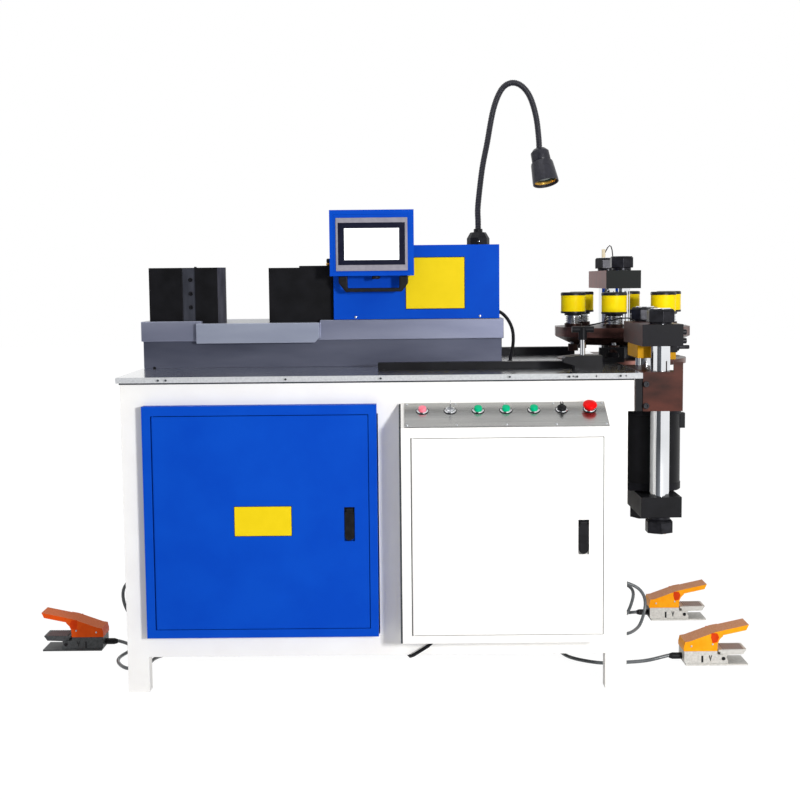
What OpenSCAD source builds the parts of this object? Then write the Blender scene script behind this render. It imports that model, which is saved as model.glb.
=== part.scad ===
// Busbar processing machine: a steel cabinet that carries a bending press, a shear and a turret punch.
// Millimetres, +X right, +Y back, +Z up. The origin is on the floor, midway between the four legs.

/* [Cabinet] */
// Width over the legs
cabinet_w = 1450; // [1446:1:1452]
// Depth over the legs
cabinet_d = 1176; // [1172:1:1178]
// Height of the frame, under the table plate
frame_h = 904; // [903:0.5:904.5]
// Width of a leg, seen from the front
leg_w = 62; // [58:1:63]
// Depth of a leg and of a rail
leg_d = 42; // [40:1:44]
// Height of the lower rails' underside
rail_z = 104; // [100:1:106]
// Thickness of the table plate
table_t = 16; // [14:0.5:16]

/* [Doors] */
// How far the tool box stands out of the frame
tool_box_out = 40; // [36:1:44]
// How far the control box stands out of the frame
control_box_out = 118; // [112:1:120]
// Depth of a door's folded edge
door_t = 18; // [14:1:20]
// Gap round a door
door_gap = 2; // [1.8:0.1:2.5]

/* [Controls] */
// Distance between two controls
control_pitch = 78.6; // [76:0.1:79]

/* [Bending press] */
// Height of the cast bed
bed_h = 147; // [146:0.5:147]
// Height of the die blocks
die_h = 167; // [150:1:170]
// Diameter of the press rod
ram_rod_d = 90; // [70:2:94]

/* [Screen and lamp] */
// Width of the screen housing
screen_w = 257; // [250:1:260]
// Height of the screen housing
screen_h = 200; // [196:1:204]
// Diameter of the lamp's gooseneck
gooseneck_d = 19.5; // [16:0.5:20]

/* [Shear and punch] */
// Diameter of the four columns
column_d = 56; // [50:1:56]
// Diameter of the two press cylinders
cylinder_d = 166; // [150:2:168]
// Size of the column nuts, across flats
nut_af = 72; // [66:1:74]
// Radius of the ring of punches
ring_r = 171.5; // [170:0.5:172]
// Angle of the first punch from +X
first_station = 13; // [12:1:14]
// Diameter of a punch cap
cap_d = 83; // [76:1:84]

/* [Foot pedals] */
// Length of a pedal's base
pedal_l = 195; // [190:1:200]
// Width of a pedal's base
pedal_w = 93; // [90:1:96]
// Diameter of a pedal's lead
lead_d = 11; // [9:0.5:11.5]

/* [Hidden] */
$fn = 48;

sheet = 2;           // thickness of folded sheet
run = 0.05;          // radial clearance of a running fit
gap = 0.3;           // clearance between bodies that pass each other

// Cabinet
leg_x = cabinet_w / 2;
leg_y = cabinet_d / 2;
rail_top = 168;      // top of the lower rails
rail_low = 810;      // underside of the upper rails
rail_end = 745;      // the upper rails run out to here on the right, to carry the presses
wall = 4;            // wall of the frame's tubes
foot_t = 2 * wall;
anchor_r = 9;
table_z = frame_h + table_t;
table_x = [-735, 765];
table_y = 600;

// Tool box
tool_x = [-leg_x + leg_w + 4, 7];
tool_z = [170, 839];
tool_front = -leg_y - tool_box_out;
tool_back = -180;
tool_door_x = [-632, -18];
tool_door_z = [196, 810];
tool_latch = [-73, 498];

// Control box
control_x = [76, 656];
control_z = [170, 780];
control_front = -leg_y - control_box_out;
control_back = -250;
control_door_x = [104, 638];
control_door_z = [194, 750];
control_latch_at = [583.5, 470];
slope_top = [-597, 838];
slope_angle = atan2(slope_top[1] - control_z[1], slope_top[0] - control_front);
panel_t = 3;
panel_x = [86, 655];
controls_y = -635;
controls_x0 = 137;
box_top = rail_low - 2;
hinge_r = 4.5;       // rounded edge of a door, about its hinge
hinge_pin_r = 2;

// Bending press
bed_top = table_z + bed_h;
bed_x = [-735, 399];
bed_front = -215;
bed_back = 235;
ledge_h = 62;        // the bed's wider top
die_y = [-190, 170];
fixed_x = [-711, -474];
ram_x = [-335, -134];
slot_x = [-545, -175]; // way that the ram slides in, milled into the bed
slot_z = 1060;
ram_z = 1165;        // axis of the press
ram_rod_r = ram_rod_d / 2;
cover_x = [-131, 386];
cover_z = [bed_top + 1, 1297];

// Screen
screen_x = -8.5;
screen_z = 1203;
screen_y = [-300, -245];
screen_pin_y = -230;

// Shear and punch
press_x = 821;       // all four columns stand in this plane
head_x = [763, 879];
column_r = column_d / 2;
shear_y = [-562, -317];
shear_block = [-600, -280];
shear_head_z = [995, 1057];
shear_lower_z = [503, 562];
turret_y = 119;
punch_y = [turret_y, turret_y + 325];
punch_block = [74, 489];
punch_head_z = [1154, 1214];
base_z = [810, 922];
cylinder_z = [565, base_z[0]];
piston_rod_r = 40;
nut_h = 38;
collar_r = 32;
turret_z = [970, 1028];
turret_slope = 27;   // height of the turret's sloped underside
turret_r = 228.8;
die_z = [frame_h + 1, 923];
die_ring_r = 215;
recess_r = die_ring_r + 3;
hub_r = 60;          // fixed hub that both turret plates turn on
hub_z = [frame_h, 1034];
sleeve_z = 948;      // underside of the punches' sleeves
spring_z = 1030;     // seat of the punches' springs, in their bushes
station = [for (i = [0:5]) [press_x + ring_r * cos(first_station + 60 * i),
                            turret_y + ring_r * sin(first_station + 60 * i)]];

// Foot pedals: heel, middle of the width, and the direction of the toe
pedal_place = [[-900, -107, 180], [940, -330, 0], [934, 207, 0]];
treadle_pin = [120, 21];

// The leads' routes: from a pedal's gland along the floor to a grommet in the cabinet's side
lead_routes = [
    [[-870, -107, 19], [-852, -107, 19], [-830, -112, 14], [-808, -130, 7], [-803, -165, 6],
     [-815, -205, 6], [-825, -245, 6], [-822, -292, 6], [-800, -342, 6], [-771, -378, 6],
     [-747, -376, 6], [-727, -358, 6], [-717, -330, 6], [-714, -290, 6], [-700, -240, 6],
     [-620, -180, 6], [-500, -120, 6], [-440, -30, 6], [-500, 60, 6], [-620, 50, 6],
     [-720, -20, 6], [-780, -55, 40], [-832, -72, 105], [-850, -68, 160], [-842, -62, 200],
     [-803, -60, 216], [-757, -60, 210], [-722, -60, 210]],
    [[910, -330, 19], [892, -330, 19], [860, -334, 11], [820, -342, 6], [770, -351, 6],
     [694, -361, 6], [634, -329, 6], [595, -290, 6], [577, -238, 6], [572, -190, 6],
     [540, -150, 6], [480, -130, 6], [430, -90, 6], [440, -40, 6], [500, -15, 6],
     [600, -20, 6], [700, -40, 6], [770, -45, 6], [826, -26, 6], [862, 30, 6],
     [885, 72, 12], [902, 95, 50], [908, 102, 88], [888, 106, 128], [846, 108, 146],
     [806, 108, 160], [775, 108, 182], [752, 108, 200], [722, 108, 200]],
    [[904, 207, 19], [884, 207, 19], [862, 208, 17], [830, 212, 8], [790, 218, 6],
     [740, 222, 6], [600, 250, 6], [400, 300, 6], [250, 290, 6], [200, 220, 6],
     [280, 150, 6], [450, 120, 6], [620, 110, 6], [740, 125, 6], [815, 150, 6],
     [845, 160, 14], [862, 165, 36], [872, 165, 70], [880, 165, 97], [876, 165, 116],
     [860, 165, 124], [825, 165, 140], [785, 165, 170], [752, 165, 200], [722, 165, 200]]
];

// Work lamp: its base, the route of its gooseneck, and the top of its head
lamp_at = [327, -100];
gooseneck = [for (q = [[327, 1343], [327, 1380], [326, 1412], [334, 1488], [343, 1552], [357, 1620],
    [367, 1677], [377, 1724], [390, 1762], [409, 1794], [436, 1807], [463, 1799], [485, 1776],
    [499, 1747], [510, 1709], [516, 1675], [521, 1625], [522, 1595]]) [q[0], lamp_at[1], q[1]]];
lamp_head_at = [522, lamp_at[1], 1595];

// Conduit from the cover's end down into the table, and the clamp's screw
conduit_route = [[380, -60, 1088], [400, -60, 1083], [422, -60, 1062], [438, -60, 1030], [442, -60, 995],
                 [438, -60, 955], [431, -60, 925], [431, -60, 895]];
clamp_at = [604.5, -520];
clamp_y = [-545, -495];

// Stripper: its width, and the centre and radius of its arched window
stripper_x = [713, 791];
arch = [752, 939];
arch_r = 23.5;

// A block between two corners, given as its spans along X, Y and Z
module block(x, y, z) translate([x[0], y[0], z[0]]) cube([x[1] - x[0], y[1] - y[0], z[1] - z[0]]);

// A sheet outline in the Y-Z plane, drawn out along X
module along_x(x, outline) translate([x[0], 0, 0]) rotate([90, 0, 90])
    linear_extrude(x[1] - x[0]) polygon(outline);

// A sheet outline in the X-Z plane, drawn out along Y
module along_y(y, outline) translate([0, y[1], 0]) rotate([90, 0, 0])
    linear_extrude(y[1] - y[0]) polygon(outline);

// An upright cylinder at a point of the plan
module post(at, z, r) translate([at[0], at[1], z[0]]) cylinder(h = z[1] - z[0], r = r);

// A cylinder along X
module bar_x(x, y, z, r) translate([x[0], y, z]) rotate([0, 90, 0]) cylinder(h = x[1] - x[0], r = r);

// A cylinder along Y
module bar_y(x, y, z, r) translate([x, y[0], z]) rotate([-90, 0, 0]) cylinder(h = y[1] - y[0], r = r);

// Points of a smooth curve through a route, with n steps between two of its points
function curve(p, n) = concat([for (i = [0:len(p) - 2]) for (k = [0:n - 1])
    let (a = p[max(i - 1, 0)], b = p[i], c = p[i + 1], d = p[min(i + 2, len(p) - 1)], t = k / n)
    0.5 * (2 * b + (c - a) * t + (2 * a - 5 * b + 4 * c - d) * t * t + (3 * b - a - 3 * c + d) * t * t * t)],
    [p[len(p) - 1]]);
function unit(v) = v / norm(v);
function heading(p, i) = unit(p[min(i + 1, len(p) - 1)] - p[max(i - 1, 0)]);
// A ring's first side, square to the heading; level headings and steep ones need different helpers
function side(d, level) = unit(cross(d, level ? [0, 0, 1] : [0, 1, 0]));
function ring(c, d, r, sides, level) = let (u = side(d, level), w = cross(d, u))
    [for (k = [0:sides - 1]) c + r * cos(360 * k / sides) * u + r * sin(360 * k / sides) * w];

// A tube swept along a curve, closed at both ends. One helper serves the whole tube, so it never twists
module tube(path, r, sides = 8, level = true) {
    n = len(path);
    polyhedron(
        points = [for (i = [0:n - 1]) each ring(path[i], heading(path, i), r, sides, level)],
        faces = concat(
            [for (i = [0:n - 2]) for (k = [0:sides - 1])
                [i * sides + k, (i + 1) * sides + k,
                 (i + 1) * sides + (k + 1) % sides, i * sides + (k + 1) % sides]],
            [[for (k = [0:sides - 1]) k]],
            [[for (k = [0:sides - 1]) n * sides - 1 - k]]));
}

// ---------------------------------------------------------------- cabinet

// The frame's members, each made smaller on every side by the wall t: 0 gives the outside
module frame_members(t) {
    for (x = [-leg_x, leg_x - leg_w], y = [-leg_y, leg_y - leg_d])
        block([x + t, x + leg_w - t], [y + t, y + leg_d - t], [min(2 * t, foot_t), frame_h - t]);
    for (y = [-leg_y, leg_y - leg_d]) {
        block([-leg_x + t, rail_end - t], [y + t, y + leg_d - t], [rail_low + t, frame_h - t]);
        block([-leg_x + t, leg_x - t], [y + t, y + leg_d - t], [rail_z + t, rail_top - t]);
    }
    block([-leg_x + t, -leg_x + leg_d - t], [-leg_y + t, leg_y - t], [rail_low + t, frame_h - t]);
    block([rail_end - leg_w + t, rail_end - t], [-leg_y + t, leg_y - t], [rail_low + t, frame_h - t]);
    for (x = [-leg_x, leg_x - leg_d])
        block([x + t, x + leg_d - t], [-leg_y + t, leg_y - t], [rail_z + t, rail_top - t]);
    // The post between the two boxes, and the bearers under the hydraulic unit
    block([tool_x[1] + 3 + t, control_x[0] - 3 - t], [-leg_y + t, -leg_y + leg_d - t],
          [rail_z + t, frame_h - t]);
    for (x = [-480, 40])
        block([x + t, x + leg_d - t], [-leg_y + t, leg_y - t], [rail_z + t, rail_top - 3 - t]);
}

// Welded frame of rectangular tube, with a drilled foot plate under each leg
module cabinet_frame() color("white") difference() {
    frame_members(0);
    frame_members(wall);
    for (sx = [-1, 1], sy = [-1, 1])
        translate([sx * (leg_x - leg_w / 2), sy * (leg_y - leg_d / 2), -1])
            cylinder(h = foot_t + 2, r = anchor_r);
}

// Side, rear and floor sheets; the sides have a grommet hole for each pedal lead
module outer_panels() color("white") difference() {
    union() {
        for (x = [-leg_x + 1, leg_x - 3])
            block([x, x + sheet], [-leg_y + leg_d + 1, leg_y - leg_d - 1], [rail_top + 1, rail_low - 1]);
        block([-leg_x + leg_w + 1, leg_x - leg_w - 1], [leg_y - 4, leg_y - 2], [rail_top + 1, rail_low - 1]);
        block([-leg_x + leg_d + 1, leg_x - leg_d - 1],
              [-leg_y + leg_d + 1, leg_y - leg_d - 1], [rail_top - 3, rail_top - 1]);
    }
    for (route = lead_routes) let (end = route[len(route) - 1])
        bar_x([end[0] - 12, end[0] + 12], end[1], end[2], lead_d / 2 + gap);
}

// Ground steel table, with four tapped holes along its front edge
module table_plate() color("silver") difference() {
    block(table_x, [-table_y, table_y], [frame_h, table_z]);
    for (x = [554, 567, 633, 717]) bar_y(x, [-table_y - 1, -table_y + 20], table_z - 8, 2.5);
    // The drag chain and pipes of the bending cylinder go down through this
    block([180, 260], [-60, 60], [frame_h - 1, table_z + 1]);
    // The conduit from the cover goes down here
    post([conduit_route[7][0], conduit_route[7][1]], [frame_h - 1, table_z + 1], 8);
    // Round recess that the die plate turns in
    post([press_x, turret_y], [frame_h - 1, table_z + 1], recess_r);
}

// ---------------------------------------------------------------- tool box

// A door opening's folded edge, with the stop that the door closes against and its two hinge holes
module door_frame(x, z, front) difference() {
    block([x[0] - 2 * sheet - door_gap, x[1] + 2 * sheet + door_gap], [front + sheet, front + door_t + 4],
          [z[0] - 10, z[1] + 10]);
    block([x[0] - door_gap, x[1] + door_gap], [front - 1, front + door_t + 2],
          [z[0] - door_gap, z[1] + door_gap]);
    block([x[0] + 10, x[1] - 10], [front + door_t, front + door_t + 5], [z[0] + 10, z[1] - 10]);
    post([x[0] + hinge_r, front + hinge_r], [z[0] - 8, z[1] + 8], hinge_pin_r + run);
}

// Folded tray with a stiff edge; the hinge side is rounded about the hinge, with a pin at each end
module door_tray(x, z, front, latch) difference() {
    union() {
        difference() {
            union() {
                block([x[0] + hinge_r, x[1]], [front, front + door_t], z);
                block([x[0], x[0] + 2 * hinge_r], [front + hinge_r, front + door_t - 4], z);
                post([x[0] + hinge_r, front + hinge_r], z, hinge_r);
            }
            block([x[0] + 3 * hinge_r, x[1] - sheet], [front + sheet, front + door_t + 1],
                  [z[0] + sheet, z[1] - sheet]);
        }
        post([x[0] + hinge_r, front + hinge_r], [z[0] - 6, z[1] + 6], hinge_pin_r);
        block([latch[0] - 20, latch[0] + 20], [front, front + door_t - 2], [latch[1] - 54, latch[1] + 54]);
    }
    // The dish that the latch lies in
    block([latch[0] - 15, latch[0] + 15], [front - 1, front + door_t - 8], [latch[1] - 49, latch[1] + 49]);
    block([latch[0] - 10, latch[0] + 10], [front, front + door_t + 1], [latch[1] + 16, latch[1] + 46]);
}

// Paddle of a flush latch: it swings out about its top, and its cam holds the door from inside
module latch_paddle(at, front) {
    pin_z = at[1] + 40;
    difference() {
        union() {
            block([at[0] - 13.5, at[0] + 13.5], [front - 2, front + 5], [at[1] - 33, pin_z - 5]);
            intersection() {
                block([at[0] - 13.5, at[0] + 13.5], [front - 2, front + 5], [at[1] - 47, at[1] - 32]);
                bar_y(at[0], [front - 3, front + 6], at[1] - 33.5, 13.5);
            }
            bar_x([at[0] - 9, at[0] + 9], front + 4, pin_z, 5);
            block([at[0] - 9, at[0] + 9], [front - 1, front + 5], [pin_z - 6, pin_z]);
            block([at[0] - 6, at[0] + 6], [front + 4, front + door_t + 8], [pin_z - 3, pin_z + 3]);
        }
        bar_x([at[0] - 20, at[0] + 20], front + 4, pin_z, 2 + run);
    }
}

// The pins that the two paddles turn on are in their doors
module latch_pin(at, front) bar_x([at[0] - 17, at[0] + 17], front + 4, at[1] + 40, 2);

module tool_box() color("#0047d4") {
    difference() {
        union() {
            block(tool_x, [tool_front, -leg_y - 1], tool_z);
            block(tool_x, [tool_front, tool_back], [tool_z[0], box_top]);
        }
        block([tool_x[0] + sheet, tool_x[1] - sheet], [tool_front + sheet, tool_back - sheet],
              [tool_z[0] + sheet, box_top - sheet]);
        block([tool_x[0] + sheet, tool_x[1] - sheet], [tool_front + sheet, -leg_y - 1 - sheet],
              [tool_z[0] + sheet, tool_z[1] - sheet]);
        block([tool_door_x[0] - door_gap, tool_door_x[1] + door_gap], [tool_front - 1, tool_front + 5],
              [tool_door_z[0] - door_gap, tool_door_z[1] + door_gap]);
    }
    door_frame(tool_door_x, tool_door_z, tool_front);
    // Two shelves for the dies
    for (z = [390, 600])
        block([tool_x[0] + 1, tool_x[1] - 1], [tool_front + 60, tool_back - 1], [z, z + sheet]);
}

module tool_box_door() color("#0047d4") {
    door_tray(tool_door_x, tool_door_z, tool_front, tool_latch);
    latch_pin(tool_latch, tool_front);
}

module tool_box_latch() color("#151515") latch_paddle(tool_latch, tool_front);

// ---------------------------------------------------------------- control box

module control_box() color("white") {
    difference() {
        along_x(control_x, [
            [control_front, control_z[0]], [control_back, control_z[0]], [control_back, box_top],
            [-leg_y - 1, box_top], [-leg_y - 1, slope_top[1]], slope_top, [control_front, control_z[1]]]);
        along_x([control_x[0] + sheet, control_x[1] - sheet], [
            [control_front + sheet, control_z[0] + sheet], [control_back - sheet, control_z[0] + sheet],
            [control_back - sheet, box_top - sheet], [-leg_y - 1 - sheet, box_top - sheet],
            [-leg_y - 1 - sheet, slope_top[1] - sheet], [slope_top[0], slope_top[1] - sheet],
            [control_front + sheet, control_z[1] - sheet]]);
        block([control_door_x[0] - door_gap, control_door_x[1] + door_gap],
              [control_front - 1, control_front + 5],
              [control_door_z[0] - door_gap, control_door_z[1] + door_gap]);
        // Opening that the control panel covers
        on_slope(0) translate([panel_x[0] + 12, -60, -30]) cube([panel_x[1] - panel_x[0] - 24, 85, 40]);
    }
    door_frame(control_door_x, control_door_z, control_front);
}

module control_door() color("white") {
    door_tray(control_door_x, control_door_z, control_front, control_latch_at);
    latch_pin(control_latch_at, control_front);
}

module control_latch() color("#151515") latch_paddle(control_latch_at, control_front);

// Places its children on the sloping panel, with +Z out of the panel and the origin on its underside
module on_slope(x)
    translate([x, controls_y, slope_top[1] + tan(slope_angle) * (controls_y - slope_top[0])])
        rotate([slope_angle, 0, 0]) children();

function control_at(i) = controls_x0 + i * control_pitch;

// Stainless panel with seven chromed bezels
module control_panel() color("silver") difference() {
    union() {
        on_slope(0) translate([panel_x[0], -79, gap]) cube([panel_x[1] - panel_x[0], 120, panel_t]);
        for (i = [0:6]) on_slope(control_at(i)) translate([0, 0, panel_t]) cylinder(h = 4, r = 16);
    }
    for (i = [0:6]) on_slope(control_at(i)) translate([0, 0, -1]) cylinder(h = 10, r = 11.5);
}

// A push button: its cap in the bezel and its stem below the panel
module push_button() {
    cylinder(h = 12, r = 11.5 - gap);
    translate([0, 0, -26]) cylinder(h = 26.5, r = 8);
}

module red_button() color("red") on_slope(control_at(0)) push_button();
module green_button(i) color("green") on_slope(control_at(i)) push_button();

module key_switch() color("silver") on_slope(control_at(1)) {
    cylinder(h = 10, r = 11.5 - gap);
    translate([0, 0, -26]) cylinder(h = 26.5, r = 8);
    translate([-1, -4, 9]) cube([2, 8, 8]);
    translate([-1, -11, 16]) cube([2, 22, 18]);
}

module selector_switch() color("#1a1a1a") on_slope(control_at(5)) {
    cylinder(h = 12, r = 11.5 - gap);
    translate([0, 0, -26]) cylinder(h = 26.5, r = 8);
    translate([-4, -14, 11]) cube([8, 28, 12]);
}

module emergency_stop() color("red") on_slope(control_at(6)) {
    translate([0, 0, -26]) cylinder(h = 45, r = 11.5 - gap);
    translate([0, 0, 12]) rotate_extrude() polygon([[0, 0], [13, 0], [20, 5], [20, 9], [17, 13], [9, 16], [0, 17]]);
}

// Back plate in the control box with its breakers, drives, controller and terminals
module electrical_panel() color("#8f9499") {
    back = control_back - sheet - gap;
    block([control_x[0] + 40, control_x[1] - 40], [back - 3, back], [220, 740]);
    for (i = [0:5]) block([150 + i * 54, 150 + i * 54 + 45], [back - 72, back - 2.5], [620, 700]);
    for (i = [0:3]) block([150 + i * 60, 150 + i * 60 + 50], [back - 82, back - 2.5], [480, 560]);
    block([420, 560], [back - 92, back - 2.5], [450, 590]);
    block([150, 580], [back - 50, back - 2.5], [250, 290]);
    for (z = [320, 420, 595]) block([140, 590], [back - 42, back - 2.5], [z, z + 20]);
}

// Oil tank with its lid, the pump motor standing on it, and the valve block that feeds the presses
module hydraulic_unit() color("#3a6ea5") {
    difference() {
        block([-500, 100], [-120, 420], [rail_top, 540]);
        block([-496, 96], [-116, 416], [rail_top + 4, 536]);
    }
    block([-510, 110], [-130, 430], [540, 546]);
    post([-330, 150], [546, 566], 115);
    post([-330, 150], [566, 790], 90);
    for (i = [0:15]) translate([-330, 150, 600]) rotate([0, 0, i * 22.5]) translate([86, -2, 0]) cube([14, 4, 150]);
    post([-330, 150], [790, 830], 94);
    block([-450, -400], [110, 190], [620, 700]);
    block([-120, 60], [60, 200], [546, 640]);
    for (i = [0:2]) block([-110 + i * 60, -70 + i * 60], [20, 240], [640.5, 690]);
}

// ---------------------------------------------------------------- bending press

// Cast bed, cored from below, with a bolted guide plate along its front
module bending_bed() color("#70757a") difference() {
    union() {
        block([bed_x[0] + 4, bed_x[1] - 5], [bed_front + 12, bed_back - 12], [table_z, bed_top - ledge_h + 1]);
        block(bed_x, [bed_front, bed_back], [bed_top - ledge_h, bed_top]);
        along_y([bed_front - 25, bed_front],
                [[-559, 998], [-190, 998], [slot_x[1], 1013], [slot_x[1], slot_z], [-559, slot_z]]);
    }
    block(slot_x, [bed_front - 1, bed_back + 1], [slot_z, bed_top + 1]);
    for (x = [[-690, -400], [-370, -30], [0, 150]])
        block(x, [bed_front + 50, bed_back - 50], [table_z - 1, bed_top - 45]);
    block([180, 260], [-60, 60], [table_z - 1, bed_top + 1]);
    block([290, 350], [bed_front + 50, bed_back - 50], [table_z - 1, bed_top - 45]);
}

// The bending block that stands still: two jaws with a bolted strip between them. The right jaw reaches
// down into the way, and its front cheek stands out further than its pressing face.
module fixed_die_block() color("#1c1c1e") {
    z = [bed_top, bed_top + die_h];
    cheek = [[-566, die_y[0]], [-496, die_y[0]], [fixed_x[1], die_y[0] + 22], [fixed_x[1], -150],
             [-530, -150], [-530, die_y[1]], [-566, die_y[1]]];
    difference() {
        union() {
            block([fixed_x[0], -607], die_y, z);
            block([-608, -565], [die_y[0] + 8, die_y[1]], z);
            translate([0, 0, z[0]]) linear_extrude(die_h) polygon(cheek);
            intersection() {
                translate([0, 0, slot_z]) linear_extrude(z[0] - slot_z + 1) polygon(cheek);
                block([slot_x[0], fixed_x[1] + 1], die_y, [slot_z - 1, z[0] + 2]);
            }
        }
        for (dz = [0, 43, 86]) bar_y(-581, [die_y[0] - 1, die_y[0] + 14], 1110 + dz, 7);
    }
    post([-566, die_y[0] + 12], [z[1] - 1, z[1] + 3], 4);
}

// The bending block that the cylinder pushes; it slides in the way
module ram_block() color("#1c1c1e") {
    block([ram_x[0], -238], die_y, [slot_z + gap, 1231]);
    block([-239, slot_x[1] - 5], die_y, [slot_z + gap, 1100]);
    difference() {
        block([-239, ram_x[1]], die_y, [bed_top + gap, 1236.5]);
        bar_x([-180, -133], 0, ram_z, 30 + run);
    }
    post([-147, die_y[0] + 30], [1235, 1257], 7);
}

// Chromed piston rod with its nose in the ram block and its piston in the cylinder
module ram_rod() color("silver") {
    bar_x([-180, -133], 0, ram_z, 30);
    bar_x([-133.5, 160], 0, ram_z, ram_rod_r);
    bar_x([100, 160], 0, ram_z, 69.9);
}

// Bending cylinder on its feet
module bending_cylinder() color("#2b2f33") difference() {
    union() {
        bar_x([-60, 340], 0, ram_z, 88);
        block([-105, -45], [-95, 95], [bed_top, ram_z + 92]);
        block([330, 370], [-95, 95], [bed_top, ram_z + 92]);
        post([-20, 0], [ram_z + 80, ram_z + 105], 16);
        post([300, 0], [ram_z + 80, ram_z + 105], 16);
    }
    bar_x([-106, -40], 0, ram_z, ram_rod_r + run);
    bar_x([-45, 330], 0, ram_z, 70);
}

// Folded cover over the bending cylinder, open below and bored for the rod, with the screen's two lugs
module cylinder_cover() color("#0047d4") {
    difference() {
        block(cover_x, [bed_front, die_y[1]], cover_z);
        block([cover_x[0] + sheet, cover_x[1] - sheet], [bed_front + sheet, die_y[1] - sheet],
              [cover_z[0] - 1, cover_z[1] - sheet]);
        bar_x([cover_x[0] - 1, cover_x[0] + 5], 0, ram_z, ram_rod_r + 8);
        bar_x([cover_x[1] - 5, cover_x[1] + 1], -60, 1088, 9);
    }
    for (z = [1225, 1275]) difference() {
        union() {
            block([screen_x - 14, screen_x + 14], [screen_pin_y, bed_front + 1], [z, z + 10]);
            post([screen_x, screen_pin_y], [z, z + 10], 14);
        }
        post([screen_x, screen_pin_y], [z - 1, z + 11], 8 + run);
    }
}

// ---------------------------------------------------------------- screen and lamp

// Sheet housing of the screen, hung on an upright pin behind it
module hmi_case() color("#0047d4") {
    x = [screen_x - screen_w / 2, screen_x + screen_w / 2];
    difference() {
        block(x, screen_y, [screen_z, screen_z + screen_h]);
        block([x[0] + 12, x[1] - 15], [screen_y[0] - 1, screen_y[1] - sheet],
              [screen_z + 12, screen_z + screen_h - 14]);
    }
    post([screen_x, screen_pin_y], [1212, 1300], 8);
    for (z = [1212, 1290]) block([screen_x - 8, screen_x + 8], [screen_y[1] - 1, screen_pin_y], [z, z + 10]);
}

module touch_screen() color("#3c4148") {
    block([-122, 102], [screen_y[0] - 4, screen_y[0] + 1], [1217, 1386]);
    block([-116, 94], [screen_y[0], screen_y[0] + 38], [1222, 1380]);
}

// U-shaped handle under the housing with cut corners, and the cable gland between its legs
module hmi_handle() color("#151515") {
    difference() {
        along_y([-278, -266], [[-112, screen_z], [-112, 1182], [-91, 1154], [82, 1154], [102, 1180],
                               [102, screen_z]]);
        block([-84, 74], [-279, -265], [1166, screen_z + 1]);
    }
    post([3, -272], [1193, screen_z], 13);
}

// Magnetic base and gooseneck
module lamp_stem() color("#151515") {
    translate([lamp_at[0], lamp_at[1], cover_z[1]]) {
        rotate([0, 0, 22.5]) {
            cylinder(h = 24, r = 36, $fn = 8);
            translate([0, 0, 24]) cylinder(h = 16, r1 = 36, r2 = 26, $fn = 8);
        }
        translate([0, 0, 38]) cylinder(h = 12, r = 14);
    }
    tube(gooseneck, gooseneck_d / 2, 10, false);
}

// Reflector head behind a collar, tilted to the right and to the front
module lamp_head() color("#151515") translate(lamp_head_at) rotate([-17, -9.5, 0]) rotate_extrude()
    polygon([[9.9, 2], [20, 2], [29, -8], [30, -36], [28, -40], [34, -43], [35.5, -48], [41, -106],
             [41, -112], [38, -112], [37, -103], [31, -66], [14, -54], [0, -54], [0, -12], [9.9, -12]]);

// Corrugated conduit from the cover's end down into the table
module conduit() color("#151515") tube(curve(conduit_route, 2), 5.5, 10, false);

// ---------------------------------------------------------------- table guides and clamp

// Two guide bars for the busbar, the hub of the turret, and the arched stripper before the punch
module table_fittings() color("#202022") {
    block([8, 555], [-383, -343], [table_z, 942]);
    block([8, 691], [325, 365], [table_z, 948]);
    difference() {
        post([press_x, turret_y], hub_z, hub_r);
        post([press_x, turret_y], [hub_z[0] - 1, hub_z[1] + 1], column_r + run);
    }
    difference() {
        block(stripper_x, [-128, -101], [table_z, 967]);
        along_y([-129, -100], concat([[arch[0] - arch_r, 935], [arch[0] + arch_r, 935]],
            [for (a = [0:12:180]) arch + arch_r * [cos(a), sin(a)]]));
    }
}

// Clamp block with a nose to the left, bored for its screw
module clamp_base() color("#202022") difference() {
    union() {
        block([578, 658], clamp_y, [table_z, 967]);
        along_y(clamp_y, [[579, 938], [579, 965], [553, 965], [547, 959], [547, 948]]);
    }
    post(clamp_at, [table_z + 8, 968], 7 + run);
}

// T-screw of the clamp
module clamp_screw() color("#2a2a2c") {
    post(clamp_at, [table_z + 9, 1030], 7);
    post(clamp_at, [1012, 1046], 12);
    bar_x([573, 636], clamp_at[1], 1042, 9);
}

// ---------------------------------------------------------------- presses at the right

// Bores for a pair of columns
module column_bores(y, z) for (cy = y) post([press_x, cy], [z[0] - 1, z[1] + 1], column_r + run);

// A hexagon nut on its collar; turn sets which way its corners point
module nut(at, z, turn) {
    translate([at[0], at[1], z]) rotate([0, 0, turn]) cylinder(h = nut_h, r = nut_af / 2 / cos(30), $fn = 6);
}

// The guide blocks of the two presses, bolted to the frame through a mounting strip
module base_blocks() color("#4a2f28") {
    difference() {
        block([table_x[1] + 0.5, head_x[1]], shear_block, base_z);
        column_bores(shear_y, base_z);
        // Step that the moving blade passes
        block([853, head_x[1] + 1], [-525, -355], [912, base_z[1] + 1]);
        for (y = [-585, -300], z = [826, 888]) bar_x([764, 772], y, z, 5);
    }
    difference() {
        block([table_x[1] + 0.5, head_x[1]], punch_block, [base_z[0], table_z]);
        column_bores(punch_y, [base_z[0], table_z]);
        post([press_x, turret_y], [frame_h, table_z + 1], recess_r);
    }
    block([852, head_x[1]], [-600, -595], [922, 950]);
    for (y = [shear_block, punch_block]) difference() {
        block([rail_end, table_x[1] + 1], [y[0] + 4, y[1] - 4], [base_z[0], frame_h]);
        for (by = [y[0] + 30, y[1] - 30]) bar_x([rail_end - 1, rail_end + 12], by, 857, 7);
    }
}

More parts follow.
